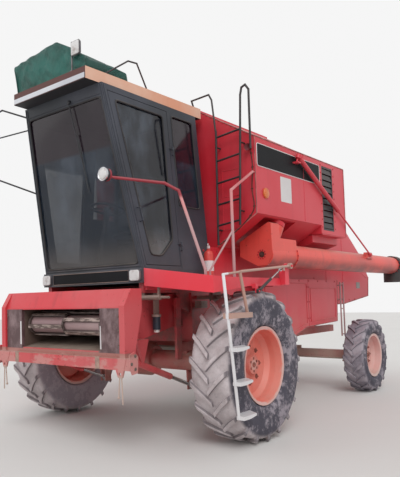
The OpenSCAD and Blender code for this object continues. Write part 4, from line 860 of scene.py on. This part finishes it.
spine = smooth_path([(0, y, z) for y, z in SIDE], 4)
grid = []
for p in spine:
    row = []
    for i in range(ACROSS + 1):
        u = i / ACROSS
        x = COVER_LEFT + COVER_W * u
        crown = sum(height_at(x + d, FRONT_TOP) for d in (-0.03, 0.0, 0.03)) / 3
        if p.y < FRONT_FOLD:
            z = ROOF_TOP + (p.z - ROOF_TOP) * (crown - ROOF_TOP) / COVER_H
        else:
            z = min(p.z, crown) - 0.012 * exp(-abs(p.z - crown) / 0.02)
        lift = (z - ROOF_TOP) / 0.43
        crease = noise.noise(Vector((x * 9 + z * 6, p.y * 3, 1.3)))
        crease += 0.6 * noise.noise(Vector((x * 17 - z * 12, p.y * 5, 4.1)))
        sag = noise.noise(Vector((x * 3.1, p.y * 2.3, z * 2.0 + 7.0)))
        ridge = 0.6 - abs(noise.noise(Vector((x * 6 + z * 9, p.y * 2.5, 9.2)))) * 3
        pull = (0.012 * crease + 0.014 * sag + 0.007 * max(ridge, -1.0)) * min(1.0, 5 * max(lift, 0.0))
        if p.y < FRONT_FOLD:
            point = Vector((x, max(p.y + pull, -1.4375), z))
        elif p.y > REAR_FOLD:
            point = Vector((x, p.y + pull, z))
        else:
            point = Vector((x, p.y, z + 0.8 * pull - 0.006))
        point.x += 0.075 * (1 - u) ** 4 * max(0.0, 1 - lift / 0.86)
        row.append(point)
    grid.append(row)
area = sum((grid[j][i + 1] - grid[j][i]).cross(grid[j + 1][i] - grid[j][i]).length
    for j in range(len(grid) - 1) for i in range(ACROSS))
sheet = bpy.data.meshes.new("roof_cover_canvas")
work = bmesh.new()


def cloth_row(points):
    return [work.verts.new(p - ORIGIN) for p in points]


made = [cloth_row(row) for row in grid]
for j in range(len(grid) - 1):
    for i in range(ACROSS):
        work.faces.new((made[j][i], made[j][i + 1], made[j + 1][i + 1], made[j + 1][i]))
# The two ends are closed by flaps of the same cloth
for i, sign, foot_x in ((0, -1, -0.578), (ACROSS, 1, 0.547)):
    edge = [row[i] for row in grid]
    foot = [Vector((foot_x, e.y, 3.832)) for e in edge]
    middle = [(a + b) / 2 + Vector((sign * 0.006 * sin(14 * a.y), 0, 0)) for a, b in zip(edge, foot)]
    low_row, mid_row = cloth_row(foot), cloth_row(middle)
    for j in range(len(edge) - 1):
        work.faces.new((made[j][i], made[j + 1][i], mid_row[j + 1], mid_row[j]))
        work.faces.new((mid_row[j], mid_row[j + 1], low_row[j + 1], low_row[j]))
        area += (edge[j + 1] - edge[j]).cross(foot[j] - edge[j]).length
bmesh.ops.recalc_face_normals(work, faces=work.faces)
work.to_mesh(sheet)
work.free()
sheet.materials.append(cloth_green)
sheet.shade_smooth()
cover = add_object("roof_cover_canvas", sheet)
thick = cover.modifiers.new("cloth", "SOLIDIFY")
thick.thickness = 0.0015
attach(cover, "machine")
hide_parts("roof_canvas")

# Seat


def cushion(name, low, high, crown, tufts):
    """A crowned pad with rounded sides and sewn channels across its face (tufts: direction and places)."""
    low, high = Vector(low), Vector(high)
    size, centre = high - low, (low + high) / 2
    work = bmesh.new()
    bmesh.ops.create_cube(work, size=1.0)
    bmesh.ops.subdivide_edges(work, edges=work.edges, cuts=15, use_grid_fill=True)
    face = 2 if size.z < size.y else 1
    for v in work.verts:
        q = v.co * 2
        a, b = [i for i in range(3) if i != face]
        edge = max(0.0, max(abs(q[a]), abs(q[b])) - 0.72) / 0.28
        r = 1 - 0.07 * abs(q[face]) ** 3
        out = [0, 0, 0]
        out[a], out[b] = q[a] * r, q[b] * r
        out[face] = q[face] * (1 - 0.55 * edge * edge) * (0.82 + crown * (1 - q[a] ** 2) * (1 - q[b] ** 2))
        for axis, spot in tufts:
            out[face] *= 1 - 0.16 * exp(-((q[axis] - spot) / 0.05) ** 2)
        v.co = Vector(out)
    biggest = [max(abs(v.co[i]) for v in work.verts) for i in range(3)]
    for v in work.verts:
        v.co = Vector(v.co[i] / biggest[i] * size[i] / 2 for i in range(3)) + centre - ORIGIN
    mesh = bpy.data.meshes.new(name)
    work.to_mesh(mesh)
    work.free()
    mesh.materials.append(cloth_seat)
    mesh.shade_smooth()
    pad = add_object(name, mesh)
    soft = pad.modifiers.new("soft", "SUBSURF")
    soft.levels = soft.render_levels = 1
    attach(pad, "machine")
    return pad


seat_pad = cushion("seat_cushion", (-0.24, -0.33, 2.215), (0.24, 0.1, 2.33), 0.22,
    [(0, -0.55), (0, 0.55), (1, 0.1)])
cushion("seat_back", (-0.23, 0.07, 2.335), (0.23, 0.175, 2.9), 0.2,
    [(0, -0.6), (0, 0.6), (2, -0.3), (2, 0.35)])
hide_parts("seat")
base = Piece()
for low, high in (((-0.15, -0.25, 1.8405), (0.15, 0.06, 2.06)), ((-0.17, -0.27, 2.16), (0.17, 0.08, 2.213)),
        ((-0.2, 0.11, 2.2), (0.2, 0.165, 2.36))):
    base.block(low, high)
base.make("seat_pedestal", plastic, bevel=0.012, slot="black_plastic")
folds = [(2.058 + 0.0085 * i, 1.0 if i % 2 else 0.9) for i in range(13)]
boot = [[(x * k, -0.095 + y * k, z) for x, y in rounded(0.26, 0.27, 0.03)] for z, k in folds]
Piece().loft(boot).make("seat_bellows", rubber, slot="rubber")

# Tank and engine cover

TANK_SIDE, HOOD_SIDE, SHIELD_SIDE = 1.32, 0.76, 0.9005  # their distances from the centreline
TANK_FRONT = 0.499
OFF = 0.0002  # between a plate and the metal that it lies on
PANEL = (1.39, 3.16, 1.7, 0.27, 0.03)  # y, z, length, height and corner radius of the bare side panel


def side_plate(x, y, z, w, h, r, thick):
    """A plate with round corners on the machine's left side."""
    return Piece().loft([[(x + OFF + d, y + dy, z + dz) for dy, dz in rounded(w, h, r)] for d in (0, thick)])


side_plate(TANK_SIDE, *PANEL, 0.002).make("side_bare_panel", panel_black, slot="black_paint")
border = [(TANK_SIDE + OFF + 0.0015, PANEL[0] + y, PANEL[1] + z) for y, z in rounded(*PANEL[2:])]
Piece().tube(border, 0.0055, 6, closed=True).make("side_panel_border", panel_white)
side_plate(TANK_SIDE, 1.24, 2.82, 0.285, 0.315, 0.015, 0.0015).make("side_bare_plate", panel_white)
plate = side_plate(HOOD_SIDE, 4.95, 1.655, 0.17, 0.11, 0.012, 0.002)
for y in (-0.07, 0.07):
    for z in (-0.04, 0.04):
        plate.turned((0.762, 4.95 + y, 1.655 + z), (1, 0, 0), [(0, 0.004), (0.002, 0.004), (0.003, 0.002)], 8)
plate.make("hood_bare_plate", panel_grey, slot="grey_steel")
for sign, side in ((1, "left"), (-1, "right")):
    dome = [(0, 0.062), (0.012, 0.064), (0.02, 0.058), (0.026, 0.03), (0.028, 0)]
    Piece().turned((sign * (TANK_SIDE + OFF), 0.716, 2.716), (sign, 0, 0), dome, 28).make(
        "side_reflector_" + side, lens_orange, slot="lamp")

# Pressed swages, welded seams and edge beads of the sheet metal
beads, edges = Piece(), Piece()
SEAMS = (  # piece, radius, distance from the centreline, and y and z of its points
    (beads, 0.006, TANK_SIDE, (0.505, 2.466), (2.245, 2.466)),
    (beads, 0.004, TANK_SIDE, (1.75, 2.47), (1.75, 3.36)),
    (edges, 0.008, TANK_SIDE, (0.5, 3.372), (3.09, 3.372)),
    (edges, 0.009, TANK_SIDE, (3.093, 2.35), (3.093, 3.368)),
    (beads, 0.008, 1.318, (2.27, 2.352), (3.09, 2.352)),
    # Hood: seam strips and its lower edge
    (beads, 0.006, HOOD_SIDE, (3.12, 2.1), (4.6, 2.06), (5.35, 1.8)),
    (beads, 0.006, HOOD_SIDE, (4.28, 1.36), (4.28, 2.59)), (beads, 0.005, HOOD_SIDE, (3.6, 1.36), (3.6, 2.6)),
    (edges, 0.008, HOOD_SIDE, (3.11, 1.338), (4.3, 1.342), (5.42, 1.464), (5.466, 1.81)),
    # Side shields: a pressed field on each leaf, closed by its first point, and the lower edges
    (beads, 0.006, SHIELD_SIDE, (1.36, 0.94), (1.36, 1.67), (2.57, 1.67), (2.57, 1.09), (2.5, 1.085),
     (1.98, 0.94), (1.36, 0.94)),
    (beads, 0.007, SHIELD_SIDE, (2.7, 1.11), (2.7, 1.6), (3.6, 1.6), (3.58, 1.14), (2.7, 1.11)),
    (edges, 0.006, SHIELD_SIDE, (1.305, 0.884), (1.99, 0.884), (2.55, 1.038), (2.62, 1.042)),
    (edges, 0.006, SHIELD_SIDE, (2.64, 1.042), (3.645, 1.077), (3.695, 1.725)))
for sign in (1, -1):
    for piece, r, x, *line in SEAMS:
        loop = line[0] == line[-1]
        piece.tube([(sign * x, y, z) for y, z in (line[:-1] if loop else line)], r, 6, closed=loop)
    corner = ((0.755, 0.5, 2.11), (TANK_SIDE, TANK_FRONT, 2.46), (TANK_SIDE, TANK_FRONT, 3.37),
        (0.53, TANK_FRONT, 3.842))
    edges.tube([(sign * x, y, z) for x, y, z in corner], 0.006, 6)
for z in (2.3, 2.7):
    beads.tube(upright(0.86, 1.1, TANK_FRONT, z, z + 0.32), 0.005, 6, closed=True)
beads.tube([(0.02, TANK_FRONT, 3.835), (0.02, TANK_FRONT, 3.8)], 0.005, 6)
beads.make("sheet_metal_swages", red)
edges.make("sheet_metal_edges", worn_edge)

# Worn edges of the feeder's mouth, and the two straps round the beam under it
trim = Piece()
for x0, x1, z0, z1 in ((0.622, 0.64, 1.02, 1.245), (-0.646, -0.622, 1.03, 1.285)):
    trim.plate([(x0, -1.3802, z0), (x1, -1.3802, z0), (x1 - 0.006, -1.3802, z1), (x0, -1.3802, z1)],
        (0, -0.002, 0))
trim.make("mouth_worn_edges", panel_white, "feeder", slot="grey_steel")
trim = Piece()
for x in (0.604, -0.678):
    trim.plate(upright(x - 0.03, x + 0.03, -1.4052, 0.836, 0.951), (0, -0.003, 0))
    lid = ((-0.03, -1.408), (0.03, -1.408), (0.03, -1.384), (-0.03, -1.384))
    trim.plate([(x + dx, y, 0.9502) for dx, y in lid], (0, 0, 0.003))
trim.make("feeder_beam_straps", beige, "feeder", slot="grey_steel")

# Horn, its clipped cable down the tank's corner, and the extinguisher at the rear of the platform
HORN = (1.262, 3.235)  # x and z
bell = [(-0.04, 0.012), (-0.038, 0.024), (0.0, 0.026), (0.008, 0.034), (0.02, 0.042), (0.023, 0.042),
    (0.014, 0.018)]
horn = Piece().turned((HORN[0], 0.455, HORN[1]), (0, -1, 0), bell, 20)
horn.tube([(HORN[0], y, HORN[1]) for y in (0.5, 0.45)], 0.009, 8).make("horn", horn_paint)
down = ((1.262, 3.23), (1.278, 3.14), (1.286, 2.98), (1.27, 2.75), (1.292, 2.56), (1.262, 2.47), (1.13, 2.34),
    (0.95, 2.22), (0.8, 2.13))
route = smooth_path([(x, 0.494, z) for x, z in down], 8)
cable = Piece().tube(route, 0.006, 8)
for p in route[6::9]:
    cable.block(p + Vector((-0.014, -0.004, -0.006)), p + Vector((0.014, 0.0055, 0.006)))
cable.make("horn_cable", rust_dark, slot="black_plastic")
BOTTLE = (0.868, 0.15)  # x and y
up = (0, 0, 1)
body = [(0, 0.046), (0.005, 0.056), (0.32, 0.056), (0.35, 0.046), (0.365, 0.022), (0.385, 0.02), (0.387, 0.0)]
Piece().turned((*BOTTLE, 1.6755), up, body, 24).make("extinguisher", bottle_paint)
bottle = Piece().turned((*BOTTLE, 1.8), up, [(0, 0.0565), (0, 0.0572), (0.12, 0.0572), (0.12, 0.0565)], 24)
bottle.turned((*BOTTLE, 2.063), up, [(0, 0.018), (0.03, 0.018), (0.035, 0.01)], 14)
lever = ((0, 0, 2.09), (0.03, 0.05, 2.11), (0.04, 0.07, 2.1))
bottle.tube([(BOTTLE[0] + dx, BOTTLE[1] - dy, z) for dx, dy, z in lever], 0.007, 8)
bottle.make("extinguisher_band_and_valve", panel_white)

# Bolts

AUGER = (1.19, 2.0)  # x and z of the folded tube's axis
SHIELD_BOLT, HOOD_BOLT, TANK_BOLT = 0.9, HOOD_SIDE + OFF, TANK_SIDE + OFF  # how far out the heads lie
bolts = {"machine": Piece(), "feeder": Piece(), "auger": Piece()}


def side_bolts(sign, count, x, *rows):
    """Rows along one flank, made together: y and z of the first bolt, the steps in y and z, and a radius."""
    for k in range(count):
        for y, z, step_y, step_z, r in rows:
            bolts["machine"].bolt((sign * x, y + step_y * k, z + step_z * k), (sign, 0, 0), r)


for sign in (1, -1):
    side_bolts(sign, 8, SHIELD_BOLT, (1.42, 1.708, 0.31, 0, 0.009))
    for y in (2.6, 2.66):
        for z in (1.16, 1.4, 1.62):
            side_bolts(sign, 1, SHIELD_BOLT, (y, z, 0, 0, 0.008))
    side_bolts(sign, 7, HOOD_BOLT, (3.15, 1.4, 0, 0.18, 0.009), (3.32, 1.385, 0.24, 0.004, 0.009))
    side_bolts(sign, 9, TANK_BOLT, (2.29, 2.44, 0, 0.11, 0.008), (2.72, 2.44, 0, 0.11, 0.008))
    for k in range(12):
        bolts["machine"].bolt((sign * (0.6 + 0.058 * k), 0.4998, 3.79 - 0.0345 * k), (0, -1, 0), 0.007)
    side_bolts(sign, 10, 0.7605, (0.2, 1.04, 0.28, 0, 0.01), (0.2, 2.05, 0.28, 0, 0.01))
for sign in (1, -1):
    for z in (1.06, 1.2, 1.34):
        bolts["feeder"].bolt((sign * 0.876, -1.3802, z), (0, -1, 0), 0.008)
    for y, z in ((-1.35, 0.97), (-1.35, 0.85), (-1.4, 0.9)):
        bolts["feeder"].bolt((sign * 1.052, y, z), (sign, 0, 0), 0.01)


def auger_bolt(k, n, r, y, outward=False):
    a = tau * k / n
    axis = (cos(a), 0, sin(a)) if outward else (0, -1, 0)
    bolts["auger"].bolt((AUGER[0] + r * cos(a), y, AUGER[1] + r * sin(a)), axis, 0.007)


for k in range(16):
    auger_bolt(k, 16, 0.156, 1.449)
    auger_bolt(k, 16, 0.163, 5.42, True)
for k in range(10):
    auger_bolt(k, 10, 0.052, 0.7998)
for body, piece in bolts.items():
    steel = bolt_steel if body == "feeder" else bolt_red
    piece.make("bolts_" + body, steel, body, smooth=30, slot="grey_steel")

# Bearing in the elbow's end
steps = [(-0.05, 0.037), (-0.012, 0.037), (-0.01, 0.03), (0.004, 0.03), (0.006, 0.016), (0.014, 0.015),
    (0.016, 0)]
bearing = Piece().turned((AUGER[0], 0.8, AUGER[1]), (0, -1, 0), steps, 24)
bearing.make("auger_bearing", rust_dark, "auger", slot="grey_steel")

# Floor, light and output

ground = bpy.data.meshes.new("floor")
ground.from_pydata([(-40, -40, 0), (40, -40, 0), (40, 40, 0), (-40, 40, 0)], [], [[0, 1, 2, 3]])
floor_shade = Shader("floor")
floor_shade.finish(floor_shade.mix(floor_shade.noise(0.4, 3), rgb(214, 212, 210), rgb(222, 220, 218)), 0.9)
ground.materials.append(floor_shade.mat)
floor = add_object("floor", ground)

world = bpy.data.worlds.new("studio")
scene.world = world
studio = Nodes(world)
# The studio is brighter to the eye, in gloss and through glass than as a light
rays = studio.new("LightPath").outputs
seen = rays["Is Camera Ray"]
for kind in ("Is Glossy Ray", "Is Transmission Ray"):
    seen = studio.maths("MAXIMUM", seen, rays[kind])
strength = studio.new("MapRange", {"Value": seen, "To Min": 0.62, "To Max": 0.92})
studio.put(studio.tree.nodes["Background"], {"Color": (1, 1, 1, 1), "Strength": strength.outputs[0]})


def sun(name, heading, strength, width):
    light = bpy.data.lights.new(name, "SUN")
    light.energy = strength
    light.angle = width
    add_object(name, light).rotation_euler = Vector(heading).to_track_quat("-Z", "Y").to_euler()


sun("key", (-0.55, 0.62, -0.75), 1.35, 0.55)
sun("fill", (0.75, 0.35, -0.5), 0.45, 1.2)
scene.view_settings.view_transform = "Standard"
